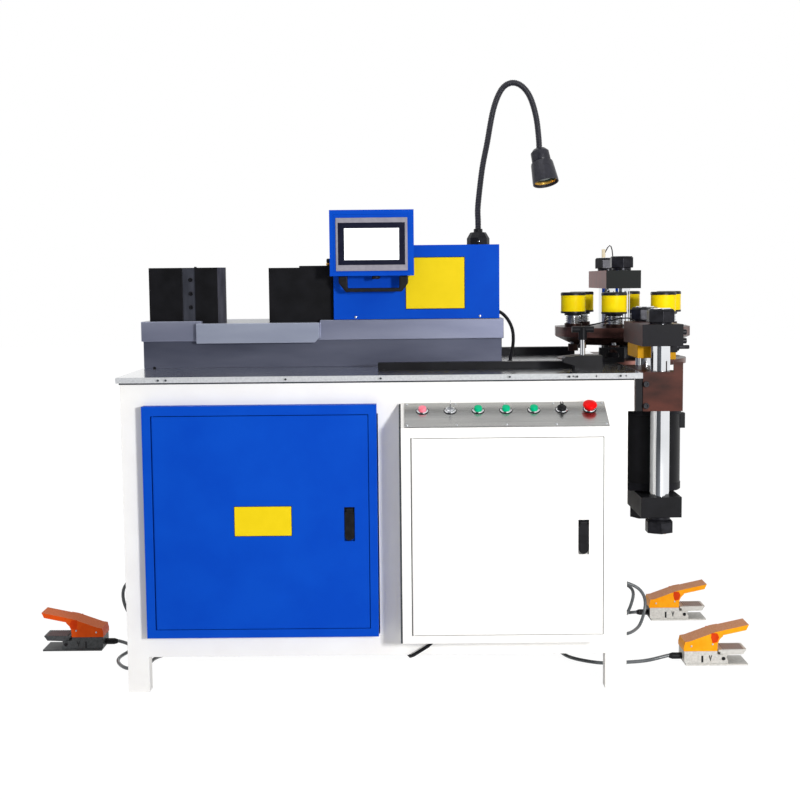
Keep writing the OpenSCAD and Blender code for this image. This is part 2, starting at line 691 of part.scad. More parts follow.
// Two hydraulic cylinders hung under the guide blocks
module press_cylinders() color("#1c1c1e")
    for (y = [(shear_y[0] + shear_y[1]) / 2, (punch_y[0] + punch_y[1]) / 2]) difference() {
        union() {
            post([press_x, y], cylinder_z, cylinder_d / 2);
            block([press_x + 60, press_x + 96], [y - 15, y + 15], [745, 790]);
        }
        post([press_x, y], [cylinder_z[0] - 1, 620], piston_rod_r + run);
        post([press_x, y], [600, 780], 62);
    }

// Crosshead that the columns pull down; its right-hand end carries the moving blade
module shear_crosshead() color("#3a2a26") difference() {
    union() {
        block(head_x, shear_block, shear_head_z);
        block([855, head_x[1]], [-520, -360], [973, shear_head_z[0] + 1]);
        for (y = [-500, -380]) bar_x([head_x[1] - 1, head_x[1] + 12], y, 1018, 9);
    }
    column_bores(shear_y, shear_head_z);
    bar_x([850, head_x[1] + 1], -440, 984, 4 + run);
}

// Columns with their nuts; a collar fills the space between a nut and its crosshead
module columns(y, z, top, top_nut, bottom_nut, turns) for (i = [0, 1]) {
    at = [press_x, y[i]];
    post(at, z, column_r);
    nut(at, top_nut, turns[i]);
    post(at, [top + gap, top_nut + 1], collar_r);
    nut(at, bottom_nut, turns[i]);
    post(at, [bottom_nut + nut_h - 1, bottom_nut + nut_h + 9.5], collar_r);
}

module shear_rods() color("silver")
    columns(shear_y, [452, 1103], shear_head_z[1], shear_head_z[1] + 5, 455, [30, 0]);

// Lower crosshead with the short thick rod that the cylinder pushes
module shear_lower_crosshead() color("#1c1c1e") lower_crosshead(shear_y, shear_block);
module lower_crosshead(y, span) {
    difference() {
        block(head_x, span, shear_lower_z);
        column_bores(y, shear_lower_z);
    }
    post([press_x, (y[0] + y[1]) / 2], [shear_lower_z[1] - 1, 596], piston_rod_r);
    post([press_x, (y[0] + y[1]) / 2], [595, 640], piston_rod_r);
}

// Yellow holder between the columns, with the moving blade at its end
module shear_blade_holder() color("gold") {
    block([763, 853], [-524, -355], [957, shear_head_z[0]]);
    block([858, 876], [-515, -365], [952, 973]);
}

module shear_thumb_screw() color("#2a2a2c") {
    bar_x([854, 906], -440, 984, 4);
    bar_x([884, 900], -440, 984, 11);
    bar_x([900, 930], -440, 984, 6);
}

// Crosshead with the pad that presses the cap under it
module punch_crosshead() color("#2c2624") difference() {
    union() {
        block(head_x, punch_block, punch_head_z);
        post([head_x[1] - 28, station[1][1]], [1146, punch_head_z[0] + 1], 27);
    }
    column_bores(punch_y, punch_head_z);
}

module punch_columns() color("silver")
    columns(punch_y, [452, 1262], punch_head_z[1], punch_head_z[1] + 9, 455, [30, 0]);

module punch_lower_crosshead() color("#1c1c1e") lower_crosshead(punch_y, punch_block);

// The twelve-sided body of the upper turret: three rings of corners, from below to above
module turret_body() {
    rings = [[turret_r - 57, turret_z[0]], [turret_r, turret_z[0] + turret_slope], [turret_r, turret_z[1]]];
    polyhedron(
        points = [for (q = rings) for (k = [0:11])
            [press_x + q[0] * cos(10 + 30 * k), turret_y + q[0] * sin(10 + 30 * k), q[1]]],
        faces = concat([[for (k = [0:11]) k]], [[for (k = [0:11]) 35 - k]],
            [for (i = [0, 12]) for (k = [0:11]) [i + (k + 1) % 12, i + k, i + 12 + k, i + 12 + (k + 1) % 12]]));
}

// Upper turret: its body turns on the hub and has a guide bush and a sleeve for each punch
module turret_plate() color("#2c2624") difference() {
    union() {
        turret_body();
        for (s = station) {
            post(s, [sleeve_z, turret_z[0] + 1], 17);
            post(s, [turret_z[1] - 1, turret_z[1] + 12], 29);
        }
    }
    for (s = station) {
        post(s, [turret_z[0] + 3, turret_z[1] + 13], 20 + run);
        post(s, [spring_z, turret_z[1] + 13], 26);
        post(s, [sleeve_z - 1, turret_z[0] + 4], 13);
    }
    post([press_x, turret_y], [turret_z[0] - 1, turret_z[1] + 1], hub_r + run);
}

// Lower turret: a ring that turns in the table's recess, with six dies
module die_plate() color("#2c2624") difference() {
    union() {
        post([press_x, turret_y], die_z, die_ring_r);
        for (s = station) post(s, [die_z[0] + 1, die_z[1] + 2], 39);
    }
    for (s = station) post(s, [die_z[0] - 1, die_z[1] + 3], 9.8);
    post([press_x, turret_y], [die_z[0] - 1, die_z[1] + 1], hub_r + run);
}

// A punch: the cap that the crosshead presses, its shank in the bush and its tip
module punch(i) color("gold") translate([station[i][0], station[i][1], 0]) rotate_extrude() polygon([
    [0, sleeve_z + 1], [9, sleeve_z + 1], [9, 999], [20, 999], [20, 1066], [29, 1066], [29, 1073],
    [cap_d / 2, 1073], [cap_d / 2, 1080], [cap_d / 2 - 1, 1081], [cap_d / 2 - 1, 1132],
    [cap_d / 2, 1133], [cap_d / 2, 1139], [cap_d / 2 - 4, 1143], [0, 1143]]);

// ---------------------------------------------------------------- foot pedals

module at_pedal(i) translate([pedal_place[i][0], pedal_place[i][1], 0]) rotate([0, 0, pedal_place[i][2]]) children();

// A side outline in the pedal's own X-Z plane, drawn across its width
module pedal_slab(w, outline) translate([0, w / 2, 0]) rotate([90, 0, 0]) linear_extrude(w) polygon(outline);

// Cast base with the switch housing at its heel, two ears for the treadle's pin and the lead's gland
module pedal_base() {
    pedal_slab(pedal_w, [[4, 0], [pedal_l, 0], [pedal_l, 5], [4, 5]]);
    difference() {
        pedal_slab(84, [[0, 8], [8, 4], [101, 4], [101, 44], [0, 44]]);
        pedal_slab(76, [[4, 8], [97, 8], [97, 45], [4, 45]]);
    }
    difference() {
        for (y = [-42, 38]) translate([0, y + 4, 0]) rotate([90, 0, 0]) linear_extrude(4)
            polygon([[100, 4], [134, 4], [134, 14], [126, 30], [100, 34]]);
        translate([treadle_pin[0], -50, treadle_pin[1]]) rotate([-90, 0, 0]) cylinder(h = 100, r = 4 + run);
    }
    translate([-30, 0, 19]) rotate([0, 90, 0]) cylinder(h = 31, r = 10);
}
module pedal_bases() color("#8c8f92") for (i = [0:2]) at_pedal(i) pedal_base();

// Orange guard: a hollow hood over the switch, with an arm that runs out over the treadle
module pedal_guard() {
    difference() {
        pedal_slab(84, [[-2, 44.3], [101, 44.3], [102, 67], [108, 81], [118, 91], [118, 108], [96, 104],
                        [16, 75], [2, 73], [-2, 56]]);
        pedal_slab(76, [[3, 44], [97, 44], [98, 69], [103, 81], [104, 99], [97, 98], [18, 70], [6, 68]]);
    }
    pedal_slab(77, [[110, 87], [120, 93], [190, 108], [pedal_l + 3, 125], [110, 106]]);
}
module pedal_guards() color("darkorange") for (i = [0:2]) at_pedal(i) pedal_guard();

// Ribbed treadle with its side webs and pin
module treadle(i) color("#9a9da0") at_pedal(i) {
    pedal_slab(72, [[106, 40], [pedal_l - 3, 44], [pedal_l - 3, 48], [106, 46]]);
    for (y = [-36, 32]) translate([0, y + 4, 0]) rotate([90, 0, 0]) linear_extrude(4)
        polygon([[112, 15], [128, 15], [134, 30], [182, 32], [pedal_l - 3, 46], [112, 44]]);
    translate([treadle_pin[0], -43, treadle_pin[1]]) rotate([-90, 0, 0]) cylinder(h = 86, r = 4);
    for (k = [0:9]) translate([116 + 7.4 * k, -34, 45]) cube([3, 68, 3.5]);
}

module lead(i) color("#8a8f95") tube(lead_routes[i], lead_d / 2, 8);

// ---------------------------------------------------------------- nodes

cabinet_frame();
outer_panels();
table_plate();
tool_box();
tool_box_door();
tool_box_latch();
control_box();
control_door();
control_latch();
control_panel();
red_button();
key_switch();
green_button(2);  // green_button_1
green_button(3);  // green_button_2
green_button(4);  // green_button_3
selector_switch();
emergency_stop();
electrical_panel();
hydraulic_unit();
bending_bed();
fixed_die_block();
ram_block();
ram_rod();
bending_cylinder();
cylinder_cover();
hmi_case();
touch_screen();
hmi_handle();
lamp_stem();
lamp_head();
conduit();
table_fittings();
clamp_base();
clamp_screw();
base_blocks();
press_cylinders();
shear_crosshead();
shear_rods();
shear_lower_crosshead();
shear_blade_holder();
shear_thumb_screw();
punch_crosshead();
punch_columns();
punch_lower_crosshead();
turret_plate();
die_plate();
punch(0);  // punch_1
punch(1);  // punch_2
punch(2);  // punch_3
punch(3);  // punch_4
punch(4);  // punch_5
punch(5);  // punch_6
pedal_bases();
pedal_guards();
treadle(0);  // treadle_left
treadle(1);  // treadle_front
treadle(2);  // treadle_back
lead(0);  // lead_left
lead(1);  // lead_front
lead(2);  // lead_back
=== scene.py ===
import math

import bmesh
import bpy
import numpy as np
from mathutils import Matrix, Vector


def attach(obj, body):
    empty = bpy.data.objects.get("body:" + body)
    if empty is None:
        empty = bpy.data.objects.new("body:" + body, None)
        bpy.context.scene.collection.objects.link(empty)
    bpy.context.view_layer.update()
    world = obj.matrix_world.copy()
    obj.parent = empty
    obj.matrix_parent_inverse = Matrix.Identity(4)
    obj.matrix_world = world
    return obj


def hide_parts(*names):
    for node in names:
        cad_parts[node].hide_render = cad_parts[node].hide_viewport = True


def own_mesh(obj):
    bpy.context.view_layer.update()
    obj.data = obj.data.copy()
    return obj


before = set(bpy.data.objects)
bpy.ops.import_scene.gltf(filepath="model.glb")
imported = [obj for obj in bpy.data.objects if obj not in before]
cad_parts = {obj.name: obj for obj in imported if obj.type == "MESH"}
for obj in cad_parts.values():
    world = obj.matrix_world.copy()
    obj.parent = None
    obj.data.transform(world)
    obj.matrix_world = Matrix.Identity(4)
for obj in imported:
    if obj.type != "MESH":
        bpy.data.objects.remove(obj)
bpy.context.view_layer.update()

# ------ camera
# The camera stands in front of the middle of the cabinet, a little above the table, on a normal lens.
# It looks slightly down and is turned by a fifth of a degree to the left.
scene = bpy.context.scene


def placed(name, data):
    """An object made of some data and put in the scene."""
    made = bpy.data.objects.new(name, data)
    scene.collection.objects.link(made)
    return made


view_camera = bpy.data.cameras.new("camera")
view_camera.sensor_width = 36
view_camera.lens = 59.10
view_camera.clip_end = 60
camera = placed("camera", view_camera)
camera.location = (0.0876, -4.3228, 1.1908)
yaw, down, roll = (math.radians(a) for a in (0.2056, 5.241, -0.569))
camera.rotation_euler = (Matrix.Rotation(yaw, 3, "Z") @ Matrix.Rotation(math.pi / 2 - down, 3, "X")
    @ Matrix.Rotation(roll, 3, "Z")).to_euler()
scene.camera = camera
scene.view_settings.view_transform = "Standard"

# ------ pedal leads
# Each foot pedal has a round PVC-sheathed control lead, 11 mm thick, that lies on the floor under the
# cabinet and rises to a grommet in its side. A tapered black boot guards each end of it.


def paint_colour(code):
    """Linear colour of a six-digit paint code."""
    parts = [int(code[i:i + 2], 16) / 255 for i in (0, 2, 4)]
    return tuple(p / 12.92 if p <= 0.04045 else ((p + 0.055) / 1.055) ** 2.4 for p in parts) + (1,)


def wired(tree, *links):
    """Joins a tree's nodes: each link is a node, its output, the next node and its input."""
    for source, given, target, taken in links:
        tree.links.new(source.outputs[given], target.inputs[taken])


def nodes_of(tree, family, *kinds):
    """New nodes of one family in a tree."""
    return [tree.nodes.new(family + kind) for kind in kinds]


def preset(node, *values):
    """Sets a node's inputs that nothing is joined to."""
    for socket, value in values:
        node.inputs[socket].default_value = value


def finish_of(name, colour, second, metal=0.0, rough=0.4, spread=0.06, grain=40, relief=0.0, shine=0.3,
        bands=(0.35, 0.65)):
    """A finish in two close tones that a cloudy pattern in the piece's own metres mixes; it also
    varies the sheen and lifts the surface a little."""
    finish = bpy.data.materials.new(name)
    finish.use_nodes = True
    tree = finish.node_tree
    shader = tree.nodes["Principled BSDF"]
    place, grid, cloud, tones, sheen = nodes_of(tree, "ShaderNode", "TexCoord", "Mapping", "TexNoise",
        "ValToRGB", "MapRange")
    preset(grid, ("Scale", grain if isinstance(grain, tuple) else (grain,) * 3))
    preset(cloud, ("Scale", 1.0), ("Detail", 5.0))
    for stop, share, code in zip(tones.color_ramp.elements, bands, (colour, second)):
        stop.position = share
        stop.color = paint_colour(code)
    preset(sheen, ("To Min", max(rough - spread, 0.02)), ("To Max", rough + spread))
    wired(tree, (place, "Object", grid, "Vector"), (grid, "Vector", cloud, "Vector"),
        (cloud, "Fac", tones, "Fac"), (cloud, "Fac", sheen, "Value"),
        (tones, "Color", shader, "Base Color"), (sheen, "Result", shader, "Roughness"))
    preset(shader, ("Metallic", metal), ("Specular IOR Level", shine))
    if relief:
        lift = tree.nodes.new("ShaderNodeBump")
        preset(lift, ("Strength", relief), ("Distance", 0.001))
        wired(tree, (cloud, "Fac", lift, "Height"), (lift, "Normal", shader, "Normal"))
    return finish


def smooth_route(points, floor=0.0, gap=12, passes=5):
    """Even points along a smooth curve through a route given in millimetres, kept above a floor."""
    rows = [np.array(p, float) for p in points]
    made = []
    for a, b, c, d in zip(rows[:1] + rows, rows, rows[1:], rows[2:] + rows[-1:]):
        for t in (0, 0.25, 0.5, 0.75):
            made.append(0.5 * (2 * b + (c - a) * t + (2 * a - 5 * b + 4 * c - d) * t * t
                + (3 * b - a - 3 * c + d) * t ** 3))
    made = np.array(made + [rows[-1]])
    run = np.concatenate([[0], np.cumsum(np.linalg.norm(np.diff(made, axis=0), axis=1))])
    even = np.linspace(0, run[-1], int(run[-1] / gap) + 1)
    made = np.stack([np.interp(even, run, made[:, k]) for k in range(3)], 1)
    for _ in range(passes):
        made[2:-2] = (made[1:-3] + 2 * made[2:-2] + made[3:-1]) / 4
    made[:, 2] = np.maximum(made[:, 2], floor)
    return [tuple(p) for p in made / 1000]


def round_cord(name, route, radius, finish):
    """An open curve with a round section through the route's points."""
    line = bpy.data.curves.new(name, "CURVE")
    line.dimensions = "3D"
    line.bevel_depth = radius
    line.bevel_resolution = 3
    line.use_fill_caps = True
    line.materials.append(finish)
    strand = line.splines.new("POLY")
    strand.points.add(len(route) - 1)
    for point, at in zip(strand.points, route):
        point.co = (*at, 1)
    return placed(name, line)


def circle(sides, turn=0.0):
    """The corners of a regular outline of radius one, round where it has many sides."""
    return [(math.cos(turn + 2 * math.pi * k / sides), math.sin(turn + 2 * math.pi * k / sides))
        for k in range(sides)]


class Form:
    """Gathers the closed shells of one piece, in millimetres of the machine; place turns and moves them."""

    def __init__(self, place=None):
        self.mesh = bmesh.new()
        self.place = place or Matrix.Identity(4)

    def spots(self, points):
        return [self.mesh.verts.new(self.place @ Vector(p)) for p in points]

    def wall(self, a, b):
        """The faces between two rings of points; a ring of one point is a pole."""
        sides = max(len(a), len(b))
        for k in range(sides if sides > 1 else 0):
            n = (k + 1) % sides
            corners = [a[k % len(a)], a[n % len(a)], b[n % len(b)], b[k % len(b)]]
            self.mesh.faces.new(list(dict.fromkeys(corners)))

    def drawn(self, outline, across, span):
        """An outline in the plane of the two other axes, drawn out along the axis named across."""
        order = {"x": (2, 0, 1), "y": (0, 2, 1), "z": (0, 1, 2)}[across]
        ends = [self.spots([tuple((*p, level)[i] for i in order) for p in outline]) for level in span]
        for ring in ends:
            self.mesh.faces.new(ring)
        self.wall(*ends)
        return self

    def block(self, x, y, z):
        return self.drawn([(x[0], y[0]), (x[1], y[0]), (x[1], y[1]), (x[0], y[1])], "z", z)

    def turned(self, profile, foot=(0, 0, 0), along=(0, 0, 1), sides=48):
        """A profile of radii and heights turned about an axis. One that starts and ends away from the axis
        is closed to a ring with a hole."""
        hole = profile[0][0] > 0 and profile[-1][0] > 0
        spin = Vector(along).normalized().to_track_quat("Z", "Y").to_matrix()
        rings = [self.spots([Vector(foot) + spin @ Vector((radius * a, radius * b, height))
            for a, b in circle(sides if radius > 0 else 1)]) for radius, height in profile]
        for a, b in zip(rings, rings[1:] + (rings[:1] if hole else [])):
            self.wall(a, b)
        return self

    def strand(self, route, radius):
        """A round bar along a route in millimetres."""
        rows = [Vector(p) for p in route]
        rings = []
        for before, at, after in zip(rows[:1] + rows, rows, rows[1:] + rows[-1:]):
            way = (after - before).normalized()
            aside = Vector((0.13, 0.21, 0.97) if abs(way.z) < 0.8 else (0.1, 0.97, 0.2))
            u = way.cross(aside).normalized()
            w = way.cross(u)
            rings.append(self.spots([at + radius * (a * u + b * w) for a, b in circle(12)]))
        for a, b in zip(rings, rings[1:]):
            self.wall(a, b)
        self.mesh.faces.new(rings[0])
        self.mesh.faces.new(rings[-1])
        return self

    def as_mesh(self, name):
        bmesh.ops.recalc_face_normals(self.mesh, faces=self.mesh.faces)
        self.mesh.transform(Matrix.Scale(0.001, 4))
        mesh = bpy.data.meshes.new(name)
        self.mesh.to_mesh(mesh)
        self.mesh.free()
        return mesh


def settled(piece):
    """Turns a piece's live modifiers into its plain mesh."""
    bpy.context.view_layer.update()
    done = bpy.data.meshes.new_from_object(piece.evaluated_get(bpy.context.evaluated_depsgraph_get()))
    piece.modifiers.clear()
    piece.data = done
    return piece


sharp_bend = math.radians(32)


def fitted(name, shape, finish, slot, body="machine", edge=0.0, replaces=(), steps=2):
    """Makes a piece of a form or a mesh: its finish, rounded edges of so many millimetres, and the body
    it rides on."""
    mesh = shape.as_mesh(name) if isinstance(shape, Form) else shape
    if not mesh.materials:
        mesh.materials.append(finish)
    mesh.shade_smooth()
    mesh.set_sharp_from_angle(angle=sharp_bend)
    piece = placed(name, mesh)
    if edge:
        rounding = piece.modifiers.new("rounding", "BEVEL")
        rounding.width = edge / 1000
        rounding.segments = steps
        rounding.limit_method = "ANGLE"
        rounding.angle_limit = sharp_bend
        piece.modifiers.new("even_shading", "WEIGHTED_NORMAL").keep_sharp = True
        settled(piece)
    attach(piece, body)
    if replaces:
        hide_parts(*replaces)
    return piece


sheath = finish_of("lead_sheath", "54585b", "606467", rough=0.25, grain=60, relief=0.05, shine=0.5)
boot_rubber = finish_of("boot_rubber", "18181a", "202023", rough=0.5, grain=90, relief=0.05, shine=0.15)
# A stop without a height lies on the floor, where the lead's middle is 6 mm up.
lead_routes = {
    "left": [(-870, -107, 19), (-852, -107, 19), (-830, -112, 14), (-808, -130, 7), (-803, -165),
        (-815, -205), (-825, -245), (-822, -292), (-800, -342), (-771, -378), (-747, -376), (-727, -358),
        (-717, -330), (-714, -290), (-700, -240), (-620, -180), (-500, -120), (-440, -30), (-500, 60),
        (-620, 50), (-720, -20), (-780, -55, 40), (-832, -72, 105), (-850, -68, 160), (-842, -62, 200),
        (-803, -60, 216), (-757, -60, 210), (-722, -60, 210)],
    "front": [(910, -330, 19), (892, -330, 19), (860, -334, 11), (820, -342), (770, -351), (694, -361),
        (634, -329), (595, -290), (577, -238), (572, -190), (540, -150), (480, -130), (430, -90),
        (440, -40), (500, -15), (600, -20), (700, -40), (770, -45), (826, -26), (862, 30), (885, 72, 12),
        (902, 95, 50), (908, 102, 88), (888, 106, 128), (846, 108, 146), (806, 108, 160), (775, 108, 182),
        (752, 108, 200), (722, 108, 200)],
    "back": [(904, 207, 19), (884, 207, 19), (862, 208, 17), (830, 212, 8), (790, 218), (740, 222),
        (600, 250), (400, 300), (250, 290), (200, 220), (280, 150), (450, 120), (620, 110), (740, 125),
        (815, 150), (845, 160, 14), (862, 165, 36), (872, 165, 70), (880, 165, 97), (876, 165, 116),
        (860, 165, 124), (825, 165, 140), (785, 165, 170), (752, 165, 200), (722, 165, 200)],
}
lead_radius, side_sheet = 5.5, 724.3
for place, length in (("left", 1.57), ("front", 1.49), ("back", 1.72)):
    stops = [(*stop, 6)[:3] for stop in lead_routes[place]]
    route = smooth_route(stops, floor=lead_radius + 0.2)
    lead = round_cord(f"pedal_lead_{place}", route, lead_radius / 1000, sheath)
    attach(lead, "machine")
    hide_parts(f"lead_{place}")
    inward = (1, 0, 0) if place == "left" else (-1, 0, 0)
    outward = tuple(-a for a in inward)
    boots = Form()
    boots.turned([(lead_radius, 0), (9.4, 0), (8.8, 3), (6.6, 9), (lead_radius, 10)], stops[0], inward,
        sides=24)
    wall = (math.copysign(side_sheet, stops[-1][0]), *stops[-1][1:])
    boots.turned([(lead_radius, 0), (12.5, 0), (12.5, 3), (9, 5), (6.6, 24), (lead_radius, 25)], wall,
        outward, sides=24)
    boot = fitted(f"lead_boots_{place}", boots, boot_rubber, "black_plastic")

# ------ floor and light
# The machine stands on a white floor that runs out of sight. One low lamp at the right of the camera
# lights it, and the pale room fills the shadows. A dark cloth, seen only by mirrors, stripes chrome.


def white_when_seen(tree):
    """Gives 1 where the camera or a reflection looks, and 0 where light is gathered."""
    path, two, three = nodes_of(tree, "ShaderNode", "LightPath", "Math", "Math")
    two.use_clamp = three.use_clamp = True
    wired(tree, (path, "Is Camera Ray", two, 0), (path, "Is Glossy Ray", two, 1), (two, 0, three, 0),
        (path, "Is Transmission Ray", three, 1))
    return three.outputs[0]


def backdrop(name, points, faces, finish):
    """A flat thing that isn't part of the machine."""
    mesh = bpy.data.meshes.new(name)
    mesh.from_pydata(points, [], faces)
    mesh.materials.append(finish)
    flat = placed(name, mesh)
    return flat


floor_white = finish_of("floor_white", "f4f4f4", "f8f8f8", rough=0.9, spread=0.02, grain=3, shine=0.1)
backdrop("floor", [(-14, -8, 0), (14, -8, 0), (14, 20, 0), (-14, 20, 0)], [(0, 1, 2, 3)], floor_white)
floor_tree = floor_white.node_tree
floor_share, floor_glow, floor_mix = nodes_of(floor_tree, "ShaderNode", "Math", "Emission", "MixShader")
floor_share.operation = "MULTIPLY"
preset(floor_share, (1, 0.88))
preset(floor_glow, ("Strength", 1.1))
floor_tree.links.new(white_when_seen(floor_tree), floor_share.inputs[0])
wired(floor_tree, (floor_share, 0, floor_mix, "Fac"), (floor_glow, "Emission", floor_mix, 2),
    (floor_tree.nodes["Principled BSDF"], "BSDF", floor_mix, 1),
    (floor_mix, "Shader", floor_tree.nodes["Material Output"], "Surface"))

studio = bpy.data.worlds.new("studio")
scene.world = studio
studio.use_nodes = True
room = studio.node_tree
sky = room.nodes["Background"]
preset(sky, ("Color", (1, 1, 1, 1)))
level = room.nodes.new("ShaderNodeMix")
preset(level, ("A", 0.42), ("B", 1.0))
room.links.new(white_when_seen(room), level.inputs["Factor"])
wired(room, (level, "Result", sky, "Strength"))
cloth_grey = finish_of("cloth_grey", "6c6f74", "74777c", rough=0.9, grain=3, shine=0.02)
cloth = backdrop("cloth", [(-5.2, -6.2, 5), (0.9, -6.2, 5), (0.9, -6.2, 0.003), (-5.2, -6.2, 0.003),
    (-1.0, -0.9, 0.003), (0.8, -0.9, 0.003)], [(0, 3, 2, 1), (3, 4, 5, 2)], cloth_grey)
cloth.visible_camera = cloth.visible_diffuse = cloth.visible_shadow = False

for name, place, size, power in (("key", (2.25, -5.3, 1.62), 0.55, 190),
        ("above", (-0.6, -1.2, 4.2), 2.4, 24)):
    light = bpy.data.lights.new(name, "AREA")
    light.size = size
    light.energy = power
    lamp = placed(name, light)
    lamp.location = place
    lamp.rotation_euler = (Vector(place) - Vector((0, -0.1, 0.9))).to_track_quat("Z", "Y").to_euler()

# ------ cabinet frame
# The cabinet is a welded frame of rectangular steel tube on four foot plates. It is powder coated white,
# and the sheets at its sides and back are held to it by small pan-head screws.


same_place, flat_bend = 0.00002, math.radians(1.0)


def softened(node, finish, slot, body="machine", edge=1.0, accents=(), steps=2):
    """The solid of a node with its edges rounded; accents give other finishes to faces that a test of
    their facing and their middle in millimetres picks."""
    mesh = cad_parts[node].data.copy()
    mesh.materials.clear()
    work = bmesh.new()
    work.from_mesh(mesh)
    bmesh.ops.remove_doubles(work, verts=work.verts, dist=same_place)
    bmesh.ops.dissolve_limit(work, angle_limit=flat_bend, verts=work.verts, edges=work.edges)
    mesh.materials.append(finish)
    for number, (other, chosen) in enumerate(accents, 1):
        mesh.materials.append(other)
        for face in work.faces:
            if chosen(face.normal, face.calc_center_median() * 1000):
                face.material_index = number
    work.to_mesh(mesh)
    work.free()
    return fitted(f"{node}_piece", mesh, finish, slot, body, edge, replaces=[node], steps=steps)


def new_tree(name, **sizes):
    """An empty tree that takes a geometry, the named inputs and a finish, and its first node."""
    tree = bpy.data.node_groups.new(name, "GeometryNodeTree")
    for label, kind in (("Geometry", "Geometry"), *sizes.items(), ("Finish", "Material")):
        tree.interface.new_socket(label, in_out="INPUT", socket_type=f"NodeSocket{kind}")
    tree.interface.new_socket("Geometry", in_out="OUTPUT", socket_type="NodeSocketGeometry")
    return tree, tree.nodes.new("NodeGroupInput")


def ended(tree, start, last, given):
    """Ends a tree: all that it made becomes plain mesh and takes the finish."""
    real, painted, end = nodes_of(tree, "", "GeometryNodeRealizeInstances", "GeometryNodeSetMaterial",
        "NodeGroupOutput")
    wired(tree, (last, given, real, "Geometry"), (real, "Geometry", painted, "Geometry"),
        (start, "Finish", painted, "Material"), (painted, "Geometry", end, "Geometry"))
    return tree


def repeat_tree():
    """A tree that sets one item on every point, turned by the point's own facing."""
    tree, start = new_tree("spread_fixings", Item="Object", Size="Float")
    item, facing, spread = nodes_of(tree, "GeometryNode", "ObjectInfo", "InputNamedAttribute",
        "InstanceOnPoints")
    facing.data_type = "FLOAT_VECTOR"
    preset(facing, ("Name", "facing"))
    wired(tree, (start, "Geometry", spread, "Points"), (start, "Item", item, "Object"),
        (item, "Geometry", spread, "Instance"), (facing, "Attribute", spread, "Rotation"),
        (start, "Size", spread, "Scale"))
    return ended(tree, start, spread, "Instances")


spread_tree = repeat_tree()


def grown(name, mesh, tree, slot, body="machine", **values):
    """A piece that a tree grows on a mesh; the tree's named inputs are set through their identifiers."""
    piece = placed(name, mesh)
    maker = piece.modifiers.new("maker", "NODES")
    maker.node_group = tree
    for socket in tree.interface.items_tree:
        if socket.in_out == "INPUT" and socket.name in values:
            maker[socket.identifier] = values[socket.name]
    settled(piece)
    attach(piece, body)
    return piece


def repeated(name, item, spots, finish, slot, body="machine"):
    """One piece of many like items: spots are (place in millimetres, direction that the head faces)."""
    master = bpy.data.objects.new(f"{name}_master", item.as_mesh(f"{name}_master"))
    master.data.shade_smooth()
    master.data.set_sharp_from_angle(angle=sharp_bend)
    points = bpy.data.meshes.new(name)
    points.from_pydata([tuple(Vector(at) / 1000) for at, _ in spots], [], [])
    turn = points.attributes.new("facing", "FLOAT_VECTOR", "POINT")
    for mark, (_, way) in zip(turn.data, spots):
        mark.vector = Vector(way).to_track_quat("Z", "Y").to_euler()
    grown(name, points, spread_tree, slot, body, Item=master, Size=1.0, Finish=finish)
    bpy.data.objects.remove(master)


def pan_head(radius):
    """A pan-head screw."""
    return Form().turned([(radius * a, radius * b) for a, b in ((0, 0), (1, 0), (1, 0.25), (0.8, 0.5),
        (0.35, 0.62), (0, 0.62))], sides=20)


def socket_head(radius, height):
    """A cap screw with a socket in its head."""
    floor_of_socket = height - 0.5 * radius
    return Form().turned([(0, 0), (radius, 0), (radius, height - 1), (radius - 1, height),
        (0.55 * radius, height), (0.52 * radius, floor_of_socket), (0, floor_of_socket)], sides=24)


white_coat = finish_of("white_powder_coat", "f3f1ee", "f7f6f3", rough=0.5, grain=9, relief=0.01, shine=0.2)
softened("cabinet_frame", white_coat, "white_paint", edge=2.0)
softened("outer_panels", white_coat, "white_paint", edge=0.5)
zinc = finish_of("zinc_fixing", "a7aaad", "b9bcbf", metal=0.8, rough=0.35, grain=200, shine=0.4)


def screwed(name, item, spots, body="machine"):
    """A set of zinc-plated screws."""
    repeated(name, item, spots, zinc, "key_steel", body)


side_face, back_face = 725, 586
side_screws = [((side * side_face, y, z), (side, 0, 0)) for side in (-1, 1) for y in (-520, 0, 520)
    for z in (190, 400, 610, 790)]
back_screws = [((x, back_face, z), (0, 1, 0)) for x in (-640, -320, 0, 320, 640) for z in (190, 490, 790)]
screwed("panel_screws", pan_head(5), side_screws + back_screws)

# ------ table plate
# The table is a ground steel plate, 16 mm thick, screwed down to the frame. Its top is bright enough to
# mirror what stands on it, and its milled edges are duller. Tapped holes in the front edge take stops.
ground_top = finish_of("ground_table_top", "d9dadc", "e6e7e8", metal=1.0, rough=0.17, spread=0.03,
    grain=(5, 420, 420), relief=0.015)
milled_edge = finish_of("milled_table_edge", "b6b8bb", "c6c8ca", rough=0.6, grain=160, relief=0.04,
    shine=0.1)
softened("table_plate", milled_edge, "table_steel", edge=0.8,
    accents=[(ground_top, lambda n, c: n.z > 0.9)])
# This dark finish serves both real seals and painted shade: the shadow strips and the dark discs at the
# holes.
seal_and_painted_shade = finish_of("seal_and_painted_shade", "3a3d41", "44474b", rough=0.6, grain=60, shine=0.1)
fitted("table_seal", Form().block((-728, 742), (-589.5, -588.2), (899, 903.6)), seal_and_painted_shade, "black_plastic")
# The tapped holes are drawn as thin dark discs on the edge: painted shade standing for the dark insides of
# the holes.
hole_spots = [((x, -610.1, z), (0, -1, 0)) for x, z in ((-612, 912), (-590, 912), (-250, 912), (20, 912),
    (386, 913), (555, 912), (577, 912), (700, 913))]
repeated("edge_holes", Form().turned([(0, 0), (3.2, 0), (3.2, 0.3), (0, 0.3)], sides=20), hole_spots,
    seal_and_painted_shade, "table_steel")

